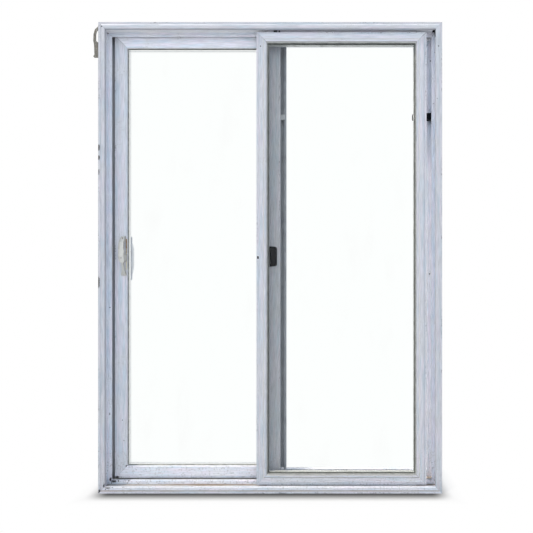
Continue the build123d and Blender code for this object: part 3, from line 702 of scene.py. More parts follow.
def burred_hole(settings, rim):
    """Dark inside, as painted shade of the hole's depth, and vinyl at the raised rim, by the
    mesh's own attribute.
    """
    material, graph, shader = new_finish("burred_hole", {"Roughness": 0.7})
    burr = graph.node("ShaderNodeAttribute", attribute_name="burr").outputs["Fac"]
    ragged = graph.ramp(graph.noise(graph.place(), 1300.0, 2.0), 0.3, 0.7, -0.25, 0.25)
    edge = graph.ramp(graph.math("ADD", burr, ragged), 0.45, 0.75)
    connect(graph, shader, base_color=graph.mix(edge, settings.hole, rim))
    return material


# ---------------------------------------------------------------- geometry nodes


def geometry_tree(name, sockets):
    """A geometry tree with named inputs: its graph, its input node and its output node."""
    tree = bpy.data.node_groups.new(name, "GeometryNodeTree")
    tree.interface.new_socket(name="Geometry", in_out="INPUT",
                              socket_type="NodeSocketGeometry")
    for label, kind in sockets.items():
        tree.interface.new_socket(name=label, in_out="INPUT", socket_type=kind)
    tree.interface.new_socket(name="Geometry", in_out="OUTPUT",
                              socket_type="NodeSocketGeometry")
    graph = Graph(tree)
    return graph, graph.node("NodeGroupInput").outputs, graph.node("NodeGroupOutput")


def close_tree(graph, given, output, **placing):
    """Ends a tree: a shape stands at each point, is realised and gets its material."""
    placed = graph.node("GeometryNodeInstanceOnPoints", {
        label.title(): socket for label, socket in placing.items()}).outputs[0]
    real = graph.node("GeometryNodeRealizeInstances", {0: placed}).outputs[0]
    named = graph.node("GeometryNodeSetMaterial", {
        "Geometry": real, "Material": given["Finish"]}).outputs[0]
    graph.tree.links.new(named, output.inputs[0])
    return graph.tree


def shape_at_points_tree():
    """Puts a template shape at each point, turned to its "facing" and scaled by its "size"."""
    graph, given, output = geometry_tree("Shape at points", {
        "Template": "NodeSocketObject", "Turn": "NodeSocketFloat", "Seed": "NodeSocketInt",
        "Finish": "NodeSocketMaterial"})
    aligned = graph.node("FunctionNodeAlignRotationToVector", {
        "Vector": graph.stored("facing")}, axis="Z").outputs[0]
    turn = graph.node("FunctionNodeRandomValue", {"Seed": given["Seed"]}, data_type="FLOAT")
    graph.tree.links.new(given["Turn"], turn.inputs[3])
    spin = graph.node("FunctionNodeAxisAngleToRotation", {
        "Axis": (0, 0, 1), "Angle": turn.outputs[1]}).outputs[0]
    turned = graph.node("FunctionNodeRotateRotation", {
        "Rotation": aligned, "Rotate By": spin}, rotation_space="LOCAL").outputs[0]
    template = graph.node("GeometryNodeObjectInfo", {"Object": given["Template"]})
    return close_tree(graph, given, output, points=given["Geometry"], rotation=turned,
                      instance=template.outputs["Geometry"], scale=graph.stored("size"))


def pile_tree():
    """Stands tufts along lines, each leaning along the line's "facing"."""
    graph, given, output = geometry_tree("Pile along a line", {
        "Spacing": "NodeSocketFloat", "Tuft Length": "NodeSocketFloat",
        "Tuft Width": "NodeSocketFloat", "Spread": "NodeSocketFloat",
        "Seed": "NodeSocketInt", "Finish": "NodeSocketMaterial"})
    line = graph.node("GeometryNodeMeshToCurve", {0: given["Geometry"]}).outputs[0]
    points = graph.node("GeometryNodeResampleCurve", {"Curve": line,
                                                      "Length": given["Spacing"]},
                        mode="LENGTH").outputs[0]
    tuft = graph.node("GeometryNodeMeshCone", {
        "Vertices": 4, "Radius Top": 0.0001, "Radius Bottom": given["Tuft Width"],
        "Depth": given["Tuft Length"]}).outputs[0]
    lean = graph.random((-1, -1, -1), (1, 1, 1), given["Seed"])
    apart = graph.node("ShaderNodeVectorMath", {0: lean, "Scale": given["Spread"]},
                       operation="SCALE").outputs[0]
    aim = graph.node("ShaderNodeVectorMath", {0: graph.stored("facing"), 1: apart},
                     operation="ADD").outputs[0]
    turned = graph.node("FunctionNodeAlignRotationToVector", {"Vector": aim},
                        axis="Z").outputs[0]
    return close_tree(graph, given, output, points=points, instance=tuft, rotation=turned)


def crumb_tree():
    """Strews small crumbs over faces."""
    graph, given, output = geometry_tree("Crumbs on faces", {
        "Density": "NodeSocketFloat", "Smallest": "NodeSocketFloat",
        "Largest": "NodeSocketFloat", "Seed": "NodeSocketInt",
        "Finish": "NodeSocketMaterial"})
    points = graph.node("GeometryNodeDistributePointsOnFaces", {
        "Mesh": given["Geometry"], "Density": given["Density"],
        "Seed": given["Seed"]}).outputs[0]
    crumb = graph.node("GeometryNodeMeshIcoSphere", {"Radius": 1.0,
                                                     "Subdivisions": 1}).outputs[0]
    size = graph.random(given["Smallest"], given["Largest"], given["Seed"])
    nearly_full_turn = (6.28, 6.28, 6.28)
    turn = graph.random((0, 0, 0), nearly_full_turn, given["Seed"])
    turned = graph.node("FunctionNodeEulerToRotation", {0: turn}).outputs[0]
    return close_tree(graph, given, output, points=points, instance=crumb, rotation=turned,
                      scale=size)


def new_piece(name, mesh):
    """A new object of this mesh, at the origin."""
    piece = bpy.data.objects.new(name, mesh)
    bpy.context.scene.collection.objects.link(piece)
    return piece


def grown(name, mesh, tree, values):
    """The plain mesh piece that a geometry tree makes from a mesh."""
    piece = new_piece(name, mesh)
    modifier = piece.modifiers.new(tree.name, "NODES")
    modifier.node_group = tree
    sockets = {item.name: item.identifier for item in tree.interface.items_tree
               if item.in_out == "INPUT"}
    for label, value in values.items():
        modifier[sockets[label]] = value
    depsgraph = bpy.context.evaluated_depsgraph_get()
    evaluated = piece.evaluated_get(depsgraph)
    result = bpy.data.meshes.new_from_object(evaluated, depsgraph=depsgraph)
    if not result.polygons:
        raise RuntimeError(f"{name} came out empty")
    piece.modifiers.remove(modifier)
    piece.data = result
    result.name = name
    return piece


def settle(piece, body):
    """Lets a finished piece ride on its body."""
    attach(piece, body)


# ---------------------------------------------------------------- shapes


def mesh_from(name, vertices, faces=(), edges=()):
    """A mesh from plain lists."""
    mesh = bpy.data.meshes.new(name)
    mesh.from_pydata([tuple(v) for v in vertices], list(edges), list(faces))
    mesh.update()
    return mesh


def landing(node, start, direction):
    """Where a straight line first meets a CAD node, and the normal there."""
    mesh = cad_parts[node].data
    tree = BVHTree.FromPolygons([v.co for v in mesh.vertices],
                                [tuple(p.vertices) for p in mesh.polygons])
    place, normal, _, _ = tree.ray_cast(Vector(start), Vector(direction))
    if place is None:
        raise RuntimeError(f"nothing of {node} lies ahead of {tuple(start)}")
    if normal.dot(Vector(direction)) > 0:
        normal.negate()
    return place, normal


def store(mesh, name, kind, values):
    """Stores a value on each point of a mesh."""
    data = mesh.attributes.new(name, kind, "POINT").data
    for item, value in zip(data, values):
        setattr(item, "vector" if kind == "FLOAT_VECTOR" else "value", value)


def points_mesh(name, spots):
    """Loose points with a "facing" and a "size": spots are (place, facing, size)."""
    mesh = mesh_from(name, [place for place, _, _ in spots])
    store(mesh, "facing", "FLOAT_VECTOR", [tuple(facing) for _, facing, _ in spots])
    store(mesh, "size", "FLOAT_VECTOR", [tuple(size) for _, _, size in spots])
    return mesh


def turned_shape(name, rings, segments, sink=None):
    """A round shape from (radius, height) rings, the first one at its middle."""
    vertices, faces = [(0, 0, rings[0][1])], []
    for radius, height in rings[1:]:
        for step in range(segments):
            angle = 2 * math.pi * step / segments
            drop = sink(radius, angle) if sink else 0.0
            vertices.append((radius * math.cos(angle), radius * math.sin(angle),
                             height - drop))
    for step in range(segments):
        after = (step + 1) % segments
        faces.append((0, 1 + step, 1 + after))
        for ring in range(len(rings) - 2):
            inner, outer = 1 + ring * segments, 1 + (ring + 1) * segments
            faces.append((inner + step, outer + step, outer + after, inner + after))
    return mesh_from(name, vertices, faces)


def pan_head(settings):
    """A domed screw head of radius 1 with a four-armed recess."""
    rise = settings.rise
    rings = [(0.0, rise - settings.recess)]
    for radius in (0.16, 0.30, 0.44, 0.56, 0.64, 0.80, 0.93, 1.0):
        rings.append((radius, rise * math.sqrt(max(0.0, 1.0 - (radius * 0.93) ** 2))))
    rings.append((1.0, -0.05))

    def recess(radius, angle):
        """How deep the recess is at one spot of the head."""
        across = abs(radius * math.sin(2 * angle) / 2)
        return settings.recess if radius < 0.6 and across < 0.12 else 0.0

    return turned_shape("pan_head", rings, 32, recess)


def hole_shape():
    """A dark disc of radius 1 inside a slightly raised rim, marked by "burr"."""
    rings = [(0.0, 0.03), (0.55, 0.03), (0.85, 0.10), (1.0, 0.16), (1.15, 0.08), (1.25, -0.05)]
    segments = 14
    mesh = turned_shape("hole_shape", rings, segments)
    middle, burr = [0.0], (0.0, 0.2, 0.75, 1.0, 1.0)
    store(mesh, "burr", "FLOAT", middle + [value for value in burr for _ in range(segments)])
    return mesh


def at_points(name, spots, template_mesh, turn, seed, material):
    """A piece with one copy of a template shape at each spot."""
    template = new_piece(f"{name}_template", template_mesh)
    piece = grown(name, points_mesh(name, spots), shape_at_points_tree(), {
        "Template": template, "Turn": turn, "Seed": seed, "Finish": material})
    bpy.data.objects.remove(template)
    return piece


def cast_spots(entries, scale):
    """Spots on CAD nodes from (node, start, direction, width, height) entries."""
    spots = []
    for node, start, direction, width, height in entries:
        place, normal = landing(node, start, direction)
        spots.append((place, normal, (width * scale, height * scale, width * scale)))
    return spots


def slab(corners, front, back, bevel):
    """A flat block: front corners as (x, z), between two depths, with its edges eased."""
    shape = bmesh.new()
    near = [shape.verts.new((x, at_depth(front), z)) for x, z in corners]
    far = [shape.verts.new((x, at_depth(back), z)) for x, z in corners]
    shape.faces.new(near)
    shape.faces.new(far[::-1])
    for index in range(len(corners)):
        after = (index + 1) % len(corners)
        shape.faces.new((near[after], near[index], far[index], far[after]))
    bmesh.ops.bevel(shape, geom=shape.edges[:], offset=bevel, segments=2, affect="EDGES")
    bmesh.ops.recalc_face_normals(shape, faces=shape.faces[:])
    return shape


def joined(name, shapes):
    """One mesh of several bmesh shapes."""
    vertices, faces = [], []
    for shape in shapes:
        start = len(vertices)
        shape.verts.index_update()
        vertices += [tuple(v.co) for v in shape.verts]
        faces += [[start + v.index for v in f.verts] for f in shape.faces]
        shape.free()
    return mesh_from(name, vertices, faces)


# ---------------------------------------------------------------- operators


class PATIODOOR_OT_vinyl(bpy.types.Operator):
    """Give the frame and both panels their weathered vinyl"""

    bl_idname = "patio_door.vinyl"
    bl_label = "Weathered Vinyl"
    bl_options = {"REGISTER", "UNDO"}

    def execute(self, context):
        scene = context.scene
        settings = scene.patio_door_vinyl
        # Painted light: worn is the painted shade of the outermost faces, and the tone and
        # front factors below make lighter and darker copies of one vinyl for bars and faces
        # that get more or less light.
        worn, soil, grime = settings.painted_front_shade, settings.soil, settings.grime
        # clean is the painted highlight along the head's ridge.
        clean, dirty = settings.ridge, shaded(grime, 2)
        for name, nodes, ring, along, look in (
            ("jamb_vinyl", ["jamb_left", "jamb_right"], FRAME_RING, "Z",
             {"front": worn, "marks": JAMB_MARKS}),
            ("head_vinyl", ["head"], FRAME_RING, "X",
             {"front": worn, "lines": ((RIDGE_INSET, clean),)}),
            ("sill_vinyl", ["sill"], FRAME_RING, "X",
             {"front": (worn + 1.0) / 2, "lines": ((RIDGE_INSET, soil),),
              "marks": SILL_MARKS}),
            # On the fixed bars the lines near 0.043 are a painted shadow along the lip's edge,
            # and the lines near 0.032 are darker lines in the grooves.
            ("fixed_upright", ["fixed_meeting_stile", "fixed_jamb_stile"], FIXED_RING, "Z",
             {"tone": worn * 1.04, "lines": ((0.0315, dirty),)}),
            ("fixed_top", ["fixed_top_rail"], FIXED_RING, "X",
             {"tone": worn * 1.24, "lines": ((0.0315, dirty), (0.0434, grime))}),
            ("fixed_bottom", ["fixed_bottom_rail"], FIXED_RING, "X",
             {"tone": worn * 1.12, "lines": ((0.0325, grime), (0.0430, grime))}),
            ("fixed_bead_vinyl", ["fixed_bead"], FIXED_RING, "", {}),
            ("lock_stile_vinyl", ["sliding_lock_stile"], SLIDING_RING, "Z",
             {"tone": 0.73, "marks": STILE_MARKS}),
            ("meeting_stile_vinyl", ["sliding_meeting_stile"], SLIDING_RING, "Z",
             {"tone": 0.68}),
            ("sliding_top", ["sliding_top_rail"], SLIDING_RING, "X", {"tone": 0.96}),
            ("sliding_bottom", ["sliding_bottom_rail"], SLIDING_RING, "X",
             {"tone": 0.84, "marks": RAIL_MARKS}),
            ("sliding_bead_vinyl", ["sliding_bead"], SLIDING_RING, "", {}),
        ):
            wear(nodes, weathered_and_shaded_vinyl(name, ring, along, settings, **look))
        return {"FINISHED"}


class PATIODOOR_OT_glazing(bpy.types.Operator):
    """Give the panes, spacers and gaskets their finishes"""

    bl_idname = "patio_door.glazing"
    bl_label = "Glass and Gaskets"
    bl_options = {"REGISTER", "UNDO"}

    def execute(self, context):
        scene = context.scene
        settings = scene.patio_door_glazing
        wear(["fixed_outer_pane", "fixed_inner_pane", "sliding_outer_pane",
              "sliding_inner_pane"], clear_glass(settings))
        wear(["fixed_spacer", "sliding_spacer"],
             drawn_metal("spacer_metal", settings.spacer, (0.34, 0.36, 0.33), "Z", 0.45, 0.6))
        # Painted light: the sliding gasket is the same rubber painted 1.5 times lighter, where
        # it sits in shade.
        for node, tone in (("fixed_gasket", 1.0), ("sliding_gasket", 1.5)):
            rubber = shaded(settings.gasket, tone)
            wear([node], speckled(f"{node}_rubber", rubber, shaded(rubber, 0.75), 0.75,
                                  900.0, 0.4))
        return {"FINISHED"}


class PATIODOOR_OT_trim(bpy.types.Operator):
    """Put bright aluminium trim between the panes, round the edge of each glass unit"""

    bl_idname = "patio_door.trim"
    bl_label = "Edge Trim"
    bl_options = {"REGISTER", "UNDO"}

    def execute(self, context):
        scene = context.scene
        bright = bright_aluminium(scene.patio_door_glazing.trim)
        clear = 0.0003
        for panel, body, ring in (("sliding", "sliding_panel", SLIDING_RING),
                                  ("fixed", "frame", FIXED_RING)):
            outer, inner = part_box(f"{panel}_outer_pane"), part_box(f"{panel}_inner_pane")
            trim = joined(f"{panel}_edge_trim", [
                square_ring(ring, TRIM_INSETS[panel], bead_edge(panel, ring) + clear,
                            outer[1][1] + clear, inner[0][1] - clear),
            ])
            trim.materials.append(bright)
            settle(new_piece(f"{panel}_edge_trim", trim), body)
        return {"FINISHED"}


def bead_edge(panel, ring):
    """How far inside a panel's outer edge its glazing bead reaches."""
    low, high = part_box(f"{panel}_inner_pane")
    middle = Vector(((low[0] + high[0]) / 2, 0, (low[2] + high[2]) / 2))
    y = high[1] + 0.0008
    place, _ = landing(f"{panel}_bead", (middle.x, y, middle.z), TO_THE_LEFT)
    return place.x - ring[0].x


def square_ring(ring, outer, inner, near, far):
    """A four-sided ring between two insets of an outline, from near to far in Y."""
    low, high = ring
    shape = bmesh.new()
    loops = []
    for inset, y in ((outer, near), (inner, near), (inner, far), (outer, far)):
        loops.append([shape.verts.new(corner) for corner in (
            (low.x + inset, y, low.z + inset), (high.x - inset, y, low.z + inset),
            (high.x - inset, y, high.z - inset), (low.x + inset, y, high.z - inset))])
    for index, loop in enumerate(loops):
        after = loops[(index + 1) % 4]
        for side in range(4):
            other = (side + 1) % 4
            shape.faces.new((loop[side], loop[other], after[other], after[side]))
    bmesh.ops.recalc_face_normals(shape, faces=shape.faces[:])
    return shape


class PATIODOOR_OT_seals(bpy.types.Operator):
    """Give the woven seals their finish and stand pile on them"""

    bl_idname = "patio_door.seals"
    bl_label = "Woven Seals"
    bl_options = {"REGISTER", "UNDO"}

    def execute(self, context):
        scene = context.scene
        settings = scene.patio_door_brush
        pile = woven_pile(scene.patio_door_glazing)
        wear(["sill_seal", "head_seal", "meeting_seal"], pile)
        tree = pile_tree()
        end_gap, root = 0.004, 0.0004
        for name, node, rows, facing, tuft in BRUSHES:
            low, high = (Vector(corner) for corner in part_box(node))
            vertices, edges = [], []
            for share in rows:
                if node == "meeting_seal":
                    x = low.x + (high.x - low.x) * share
                    ends = ((x, high.y, low.z + end_gap), (x, high.y, high.z - end_gap))
                else:
                    z = low.z + (high.z - low.z) * share
                    ends = ((low.x + end_gap, high.y, z), (high.x - end_gap, high.y, z))
                edges.append((len(vertices), len(vertices) + 1))
                vertices += [Vector(end) - Vector(facing) * root for end in ends]
            lines = mesh_from(name, vertices, edges=edges)
            store(lines, "facing", "FLOAT_VECTOR", [facing] * len(vertices))
            settle(grown(name, lines, tree, {
                "Spacing": settings.spacing, "Tuft Length": tuft,
                "Tuft Width": settings.width, "Spread": settings.spread,
                "Seed": settings.seed, "Finish": pile}), "frame")
        return {"FINISHED"}


class PATIODOOR_OT_metal(bpy.types.Operator):
    """Give the track, the fin, the strap and the locks their metal"""

    bl_idname = "patio_door.metal"
    bl_label = "Metal Parts"
    bl_options = {"REGISTER", "UNDO"}

    def execute(self, context):
        scene = context.scene
        settings = scene.patio_door_metal
        grime = scene.patio_door_vinyl.grime
        wear(["sill_rail", "head_guide"],
             drawn_metal("track_metal", settings.track, grime, "X", 0.35, 0.9, 0.6))
        wear(["interlock_fin"],
             drawn_metal("fin_metal", settings.fin, shaded(settings.fin, 0.5), "Z",
                         0.72, 0.0))
        wear(["anchor_strap", "roller_housing_left", "roller_housing_right"],
             dull_zinc(settings, shaded(grime, 0.35)))
        wear(["strike_keeper", "mortise_lock"],
             drawn_metal("lock_steel", settings.steel, settings.rust, "Z", 0.38, 0.85))
        return {"FINISHED"}


class PATIODOOR_OT_plastic(bpy.types.Operator):
    """Give the pulls, the latch, the stop and the wheels their plastic"""

    bl_idname = "patio_door.plastic"
    bl_label = "Plastic Fittings"
    bl_options = {"REGISTER", "UNDO"}

    def execute(self, context):
        scene = context.scene
        settings = scene.patio_door_plastic
        wear(["exterior_pull"], aged_cream(settings))
        wear(["interior_plate", "interior_pull", "thumb_latch"],
             speckled("white_plastic", settings.white, shaded(settings.white, 0.9),
                      0.36, 700.0, 0.15))
        wear(["night_latch", "panel_stop"],
             speckled("black_plastic", settings.black, (0.010, 0.011, 0.014), 0.42, 800.0, 0.3,
                      {"Specular IOR Level": 0.10}))
        wear(["fin_pad"],
             speckled("pad_plastic", settings.pad, shaded(settings.pad, 0.85), 0.6,
                      600.0, 0.3))
        wear(["roller_wheel_left", "roller_wheel_right"],
             speckled("wheel_nylon", settings.nylon, shaded(settings.nylon, 0.5), 0.5,
                      500.0, 0.3))
        return {"FINISHED"}


class PATIODOOR_OT_screws(bpy.types.Operator):
    """Drive the pan-head screws of the frame's and the panel's fittings"""

    bl_idname = "patio_door.screws"
    bl_label = "Screws"
    bl_options = {"REGISTER", "UNDO"}

    def execute(self, context):
        scene = context.scene
        settings = scene.patio_door_screws
        steel = drawn_metal("screw_steel", scene.patio_door_metal.steel,
                            scene.patio_door_metal.rust, "Z", 0.42, 0.8, 0.75)
        keeper, strap, stop, plate, pull, fin = (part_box(node) for node in (
            "strike_keeper", "anchor_strap", "panel_stop", "interior_plate", "exterior_pull",
            "interlock_fin"))
        middle = (plate[0][0] + plate[1][0]) / 2
        track = at_depth(TRACK_DEPTH)
        lowest_in_pull, lock_heights = 1.016, (0.946, 1.086)
        on_frame = [("strike_keeper", (0, track, z), TO_THE_LEFT, 1.0, 1.0)
                    for z in between(keeper, 0.010, 0.010)]
        on_frame += [("anchor_strap", (-1, at_depth(0.036), z), TO_THE_RIGHT, 1.1, 1.1)
                     for z in between(strap, 0.022, 0.030)]
        on_frame += [("panel_stop", (0, at_depth(0.110), z), TO_THE_RIGHT, 1.0, 1.0)
                     for z in between(stop, 0.007, 0.007)]
        on_panel = [("exterior_pull", (middle + 0.0005, -1, z), TOWARDS_ROOM, 0.85, 0.85)
                    for z in (pull[1][2] - 0.009, lowest_in_pull)]
        on_panel += [("interior_plate", (middle, 1, z), TOWARDS_VIEWER, 1.0, 1.0)
                     for z in between(plate, 0.012, 0.012)]
        on_panel += [("mortise_lock", (-1, track, z), TO_THE_RIGHT, 1.0, 1.0)
                     for z in lock_heights]
        rows, x = 7, fin[0][0] + 0.013
        low, high = between(fin, 0.045, 0.045)
        on_panel += [("interlock_fin", (x, 1, low + (high - low) * row / (rows - 1)),
                      TOWARDS_VIEWER, 0.8, 0.8) for row in range(rows)]
        for name, body, entries in (("frame_screws", "frame", on_frame),
                                    ("panel_screws", "sliding_panel", on_panel)):
            piece = at_points(name, cast_spots(entries, settings.radius), pan_head(settings),
                              2 * math.pi, settings.seed, steel)
            for polygon in piece.data.polygons:
                polygon.use_smooth = True
            settle(piece, body)
        return {"FINISHED"}


class PATIODOOR_OT_holes(bpy.types.Operator):
    """Mark the old holes and chips in the vinyl"""

    bl_idname = "patio_door.holes"
    bl_label = "Holes and Chips"
    bl_options = {"REGISTER", "UNDO"}

    def execute(self, context):
        scene = context.scene
        material = burred_hole(scene.patio_door_wear, scene.patio_door_vinyl.body)
        for name, body, entries in (("frame_holes", "frame", FRAME_HOLES),
                                    ("panel_holes", "sliding_panel", PANEL_HOLES)):
            settle(at_points(name, cast_spots(entries, 1.0), hole_shape(), 0.0, 0, material),
                   body)
        return {"FINISHED"}


class PATIODOOR_OT_grit(bpy.types.Operator):
    """Strew crumbs of dirt in the sill's channels"""

    bl_idname = "patio_door.grit"
    bl_label = "Channel Grit"
    bl_options = {"REGISTER", "UNDO"}

    def execute(self, context):
        scene = context.scene
        settings = scene.patio_door_wear
        material = speckled("dry_dirt", settings.crumb, shaded(settings.crumb, 2.2),
                            0.9, 900.0, 0.5)
        vertices, faces = [], []
        for left, right, near, far, z in GRIT_STRIPS:
            start = len(vertices)
            vertices += [(left, at_depth(near), z), (right, at_depth(near), z),
                         (right, at_depth(far), z), (left, at_depth(far), z)]
            faces.append(tuple(range(start, start + 4)))
        strips = mesh_from("channel_grit", vertices, faces)
        settle(grown("channel_grit", strips, crumb_tree(), {
            "Density": settings.crumbs, "Smallest": settings.smallest,
            "Largest": settings.largest, "Seed": settings.seed, "Finish": material}), "frame")
        return {"FINISHED"}


def flaked_off(row, rows, ragged):
    """Whether one cell of the glue has flaked off: more often towards the bottom."""
    return ragged.random() < 0.22 * (1.0 - row / rows)


class PATIODOOR_OT_residue(bpy.types.Operator):
    """Lay the strip of old glue beside the pull"""

    bl_idname = "patio_door.residue"
    bl_label = "Old Glue"
    bl_options = {"REGISTER", "UNDO"}

    def execute(self, context):
        scene = context.scene
        columns, rows, skin = 5, 70, 0.00025
        ragged = random.Random(31)
        vertices, faces = [], []
        for row in range(rows + 1):
            share = row / rows
            z = GLUE_LOW + (GLUE_HIGH - GLUE_LOW) * share
            trim = 0.0012 * ragged.random() + 0.0022 * max(0.0, 0.25 - share)
            for column in range(columns + 1):
                x = GLUE_LEFT + trim + (GLUE_RIGHT - GLUE_LEFT - trim) * column / columns
                place, normal = landing("sliding_lock_stile", (x, -1, z), TOWARDS_ROOM)
                edge = column in (0, columns) or row in (0, rows)
                lift = skin * (0.1 if edge else ragged.uniform(0.6, 1.3))
                vertices.append(place + normal * lift)
        for row in range(rows):
            for column in range(columns):
                if flaked_off(row, rows, ragged):
                    continue
                first = row * (columns + 1) + column
                faces.append((first, first + 1, first + columns + 2, first + columns + 1))
        mesh = mesh_from("grip_residue", vertices, faces)
        mesh.materials.append(old_glue(scene.patio_door_wear, GLUE_LOW, GLUE_HIGH))
        settle(new_piece("grip_residue", mesh), "sliding_panel")
        return {"FINISHED"}


class PATIODOOR_OT_packers(bpy.types.Operator):
    """Put the two packers over the fixed panel and the black pad in the upper corner"""

    bl_idname = "patio_door.packers"
    bl_label = "Packers and Corner Pad"
    bl_options = {"REGISTER", "UNDO"}

    def execute(self, context):
        scene = context.scene
        settings = scene.patio_door_plastic
        material = speckled("packer_plastic", settings.black, (0.012, 0.012, 0.015), 0.6,
                            700.0, 0.4, {"Specular IOR Level": 0.10})
        low, high = FIXED_RING[1].z + 0.0001, HEAD_LEG
        ceiling, leg = HEAD_CEILING, FRAME_RING[1].x - 0.028
        for name, slabs in (
            ("head_packers", (
                ([(0.0132, low), (0.0290, low), (0.0286, high), (0.0137, high - 0.0004)],
                 0.0135, 0.0300, 0.0003),
                ([(0.0348, low), (0.0409, low), (0.0404, high - 0.0003), (0.0356, high)],
                 0.0135, 0.0280, 0.0003))),
            ("corner_pad", (
                ([(0.7110, ceiling - 0.0012), (0.7270, ceiling - 0.0012),
                  (0.7270, ceiling - 0.0001), (0.7130, ceiling - 0.0001)],
                 0.034, 0.0545, 0.0002),
                ([(leg - 0.0008, 1.9760), (leg - 0.0001, 1.9690), (leg - 0.0001, 2.0010),
                  (leg - 0.0010, 2.0010)], 0.0020, 0.0118, 0.0001))),
        ):
            mesh = joined(name, [slab(*shape) for shape in slabs])
            mesh.materials.append(material)
            settle(new_piece(name, mesh), "frame")
        return {"FINISHED"}


class PATIODOOR_OT_stage(bpy.types.Operator):
    """Set the camera, the sun, the two broad lights, the sky and the floor"""

    bl_idname = "patio_door.stage"
    bl_label = "Camera, Light and Floor"
    bl_options = {"REGISTER", "UNDO"}

    def execute(self, context):
        scene = context.scene
        settings = scene.patio_door_stage
        camera = bpy.data.objects.new("camera", bpy.data.cameras.new("camera"))
        scene.collection.objects.link(camera)
        camera.location = settings.camera_place
        camera.rotation_euler = (math.pi / 2, 0, 0)
        camera.data.sensor_width = 36.0
        camera.data.lens = settings.lens
        camera.data.shift_x = settings.shift_x
        camera.data.shift_y = settings.shift_y
        camera.data.clip_start = 0.05
        scene.camera = camera
        for name, strength, tone, size, bearing, height in (
            ("sun", settings.sun_strength, settings.sun_colour, settings.sun_size,
             settings.sun_bearing, settings.sun_height),
            ("front_light", settings.front_strength, settings.broad_colour,
             settings.front_size, 0.0, settings.front_height),
            ("back_light", settings.back_strength, settings.broad_colour,
             settings.back_size, settings.back_bearing, settings.back_height),
        ):
            lamp = bpy.data.lights.new(name, "SUN")
            lamp.energy, lamp.color, lamp.angle = strength, tone, size
            light = bpy.data.objects.new(name, lamp)
            light.visible_transmission = False
            light.visible_glossy = name == "sun"
            scene.collection.objects.link(light)
            towards = Vector((-math.sin(bearing) * math.cos(height),
                              -math.cos(bearing) * math.cos(height), math.sin(height)))
            light.rotation_mode = "QUATERNION"
            light.rotation_quaternion = towards.to_track_quat("Z", "Y")
        self.make_sky(scene, settings)
        self.make_floor(settings)
        scene.view_settings.view_transform = "Standard"
        return {"FINISHED"}

    def make_sky(self, scene, settings):
        """Plain light all round, and white where the camera, glass or gloss sees it."""
        world = bpy.data.worlds.new("studio")
        scene.world = world
        world.use_nodes = True
        graph = Graph(world.node_tree)
        background = world.node_tree.nodes["Background"]
        seen = graph.mix(seen_directly(graph), settings.sky, (1.0, 1.0, 1.0))
        graph.tree.links.new(seen, background.inputs["Color"])
        background.inputs["Strength"].default_value = 1.0

    def make_floor(self, settings):
        """A pale floor, white to the camera, with the object's shadow close to it and a painted
        shadow along the door's foot.
        """
        half, level = settings.floor_size, -settings.floor_gap
        floor = new_piece("floor", mesh_from("floor", [
            (-half, -half, level), (half, -half, level), (half, half, level),
            (-half, half, level)], [(0, 1, 2, 3)]))
        material, graph, shader = new_finish("pale_floor")
        graph.tree.nodes.remove(shader)
        x, y, _ = graph.split(graph.place())
        away = graph.math("SUBTRACT", graph.math("ABSOLUTE", y), FRAME_RING[1].y)
        along = graph.math("ABSOLUTE", x)
        ends = FRAME_RING[1].x
        # Painted shadow: the floor darkens towards the door's foot and fades out past its ends.
        shade = graph.all_of(graph.ramp(away, settings.shade_reach, 0.0, 0.0, 0.90),
                             graph.ramp(along, ends + 0.050, ends - 0.050))
        tone = graph.math("SUBTRACT", 1.0, shade)
        lit = graph.node("ShaderNodeBsdfDiffuse", {
            "Color": graph.dimmed(settings.floor_tone, tone)}).outputs[0]
        white = graph.node("ShaderNodeEmission", {"Color": graph.grey(tone),
                                                  "Strength": 1.0}).outputs[0]
        share = graph.ramp(graph.math("MAXIMUM", away, graph.math("SUBTRACT", along, ends)),
                           0.0, 0.10, 0.72, 1.0)
        seen = graph.math("MULTIPLY", seen_directly(graph), share)
        both = graph.node("ShaderNodeMixShader", {0: seen, 1: lit, 2: white})
        graph.tree.links.new(both.outputs[0],
                             graph.tree.nodes["Material Output"].inputs["Surface"])
        floor.data.materials.append(material)


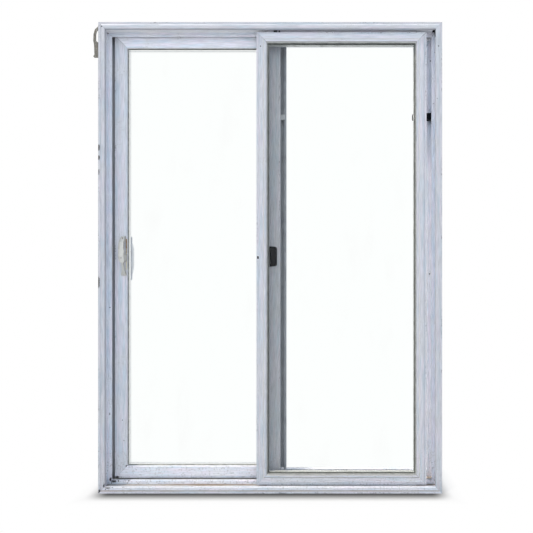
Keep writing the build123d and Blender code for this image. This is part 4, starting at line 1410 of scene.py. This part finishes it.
def seen_directly(graph):
    """1 for rays from the camera, through glass or off gloss, before any diffuse bounce."""
    path = graph.node("ShaderNodeLightPath").outputs
    sight = graph.math("MAXIMUM", path["Is Camera Ray"],
                       graph.math("MAXIMUM", path["Is Glossy Ray"],
                                  path["Is Transmission Ray"]))
    return graph.math("MULTIPLY", sight,
                      graph.math("LESS_THAN", path["Diffuse Depth"], 0.5))


OPERATORS = (
    PATIODOOR_OT_vinyl, PATIODOOR_OT_glazing, PATIODOOR_OT_trim, PATIODOOR_OT_seals,
    PATIODOOR_OT_metal, PATIODOOR_OT_plastic, PATIODOOR_OT_screws, PATIODOOR_OT_holes,
    PATIODOOR_OT_grit, PATIODOOR_OT_residue, PATIODOOR_OT_packers, PATIODOOR_OT_stage,
)


class PATIODOOR_PT_sidebar(bpy.types.Panel):
    """Lists the door's operators and settings"""

    bl_label = "Patio Door"
    bl_idname = "PATIODOOR_PT_sidebar"
    bl_space_type = "VIEW_3D"
    bl_region_type = "UI"
    bl_category = "Patio Door"

    def draw(self, context):
        column = self.layout.column(align=True)
        for operator in OPERATORS:
            column.operator(operator.bl_idname)
        for name, group in GROUPS.items():
            box = self.layout.box()
            box.label(text=group.__name__.replace("PatioDoor", ""))
            for label in group.__annotations__:
                box.prop(getattr(context.scene, name), label)


def register():
    """Registers the settings, the operators and the panel."""
    for name, group in GROUPS.items():
        bpy.utils.register_class(group)
        setattr(bpy.types.Scene, name, PointerProperty(type=group))
    for operator in OPERATORS:
        bpy.utils.register_class(operator)
    bpy.utils.register_class(PATIODOOR_PT_sidebar)


def unregister():
    """Takes everything out again."""
    bpy.utils.unregister_class(PATIODOOR_PT_sidebar)
    for operator in reversed(OPERATORS):
        bpy.utils.unregister_class(operator)
    for name, group in reversed(GROUPS.items()):
        delattr(bpy.types.Scene, name)
        bpy.utils.unregister_class(group)


def main():
    """Registers everything and dresses the door."""
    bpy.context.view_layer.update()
    register()
    for operator in OPERATORS:
        family, name = operator.bl_idname.split(".")
        getattr(getattr(bpy.ops, family), name)()


if __name__ == "__main__":
    main()
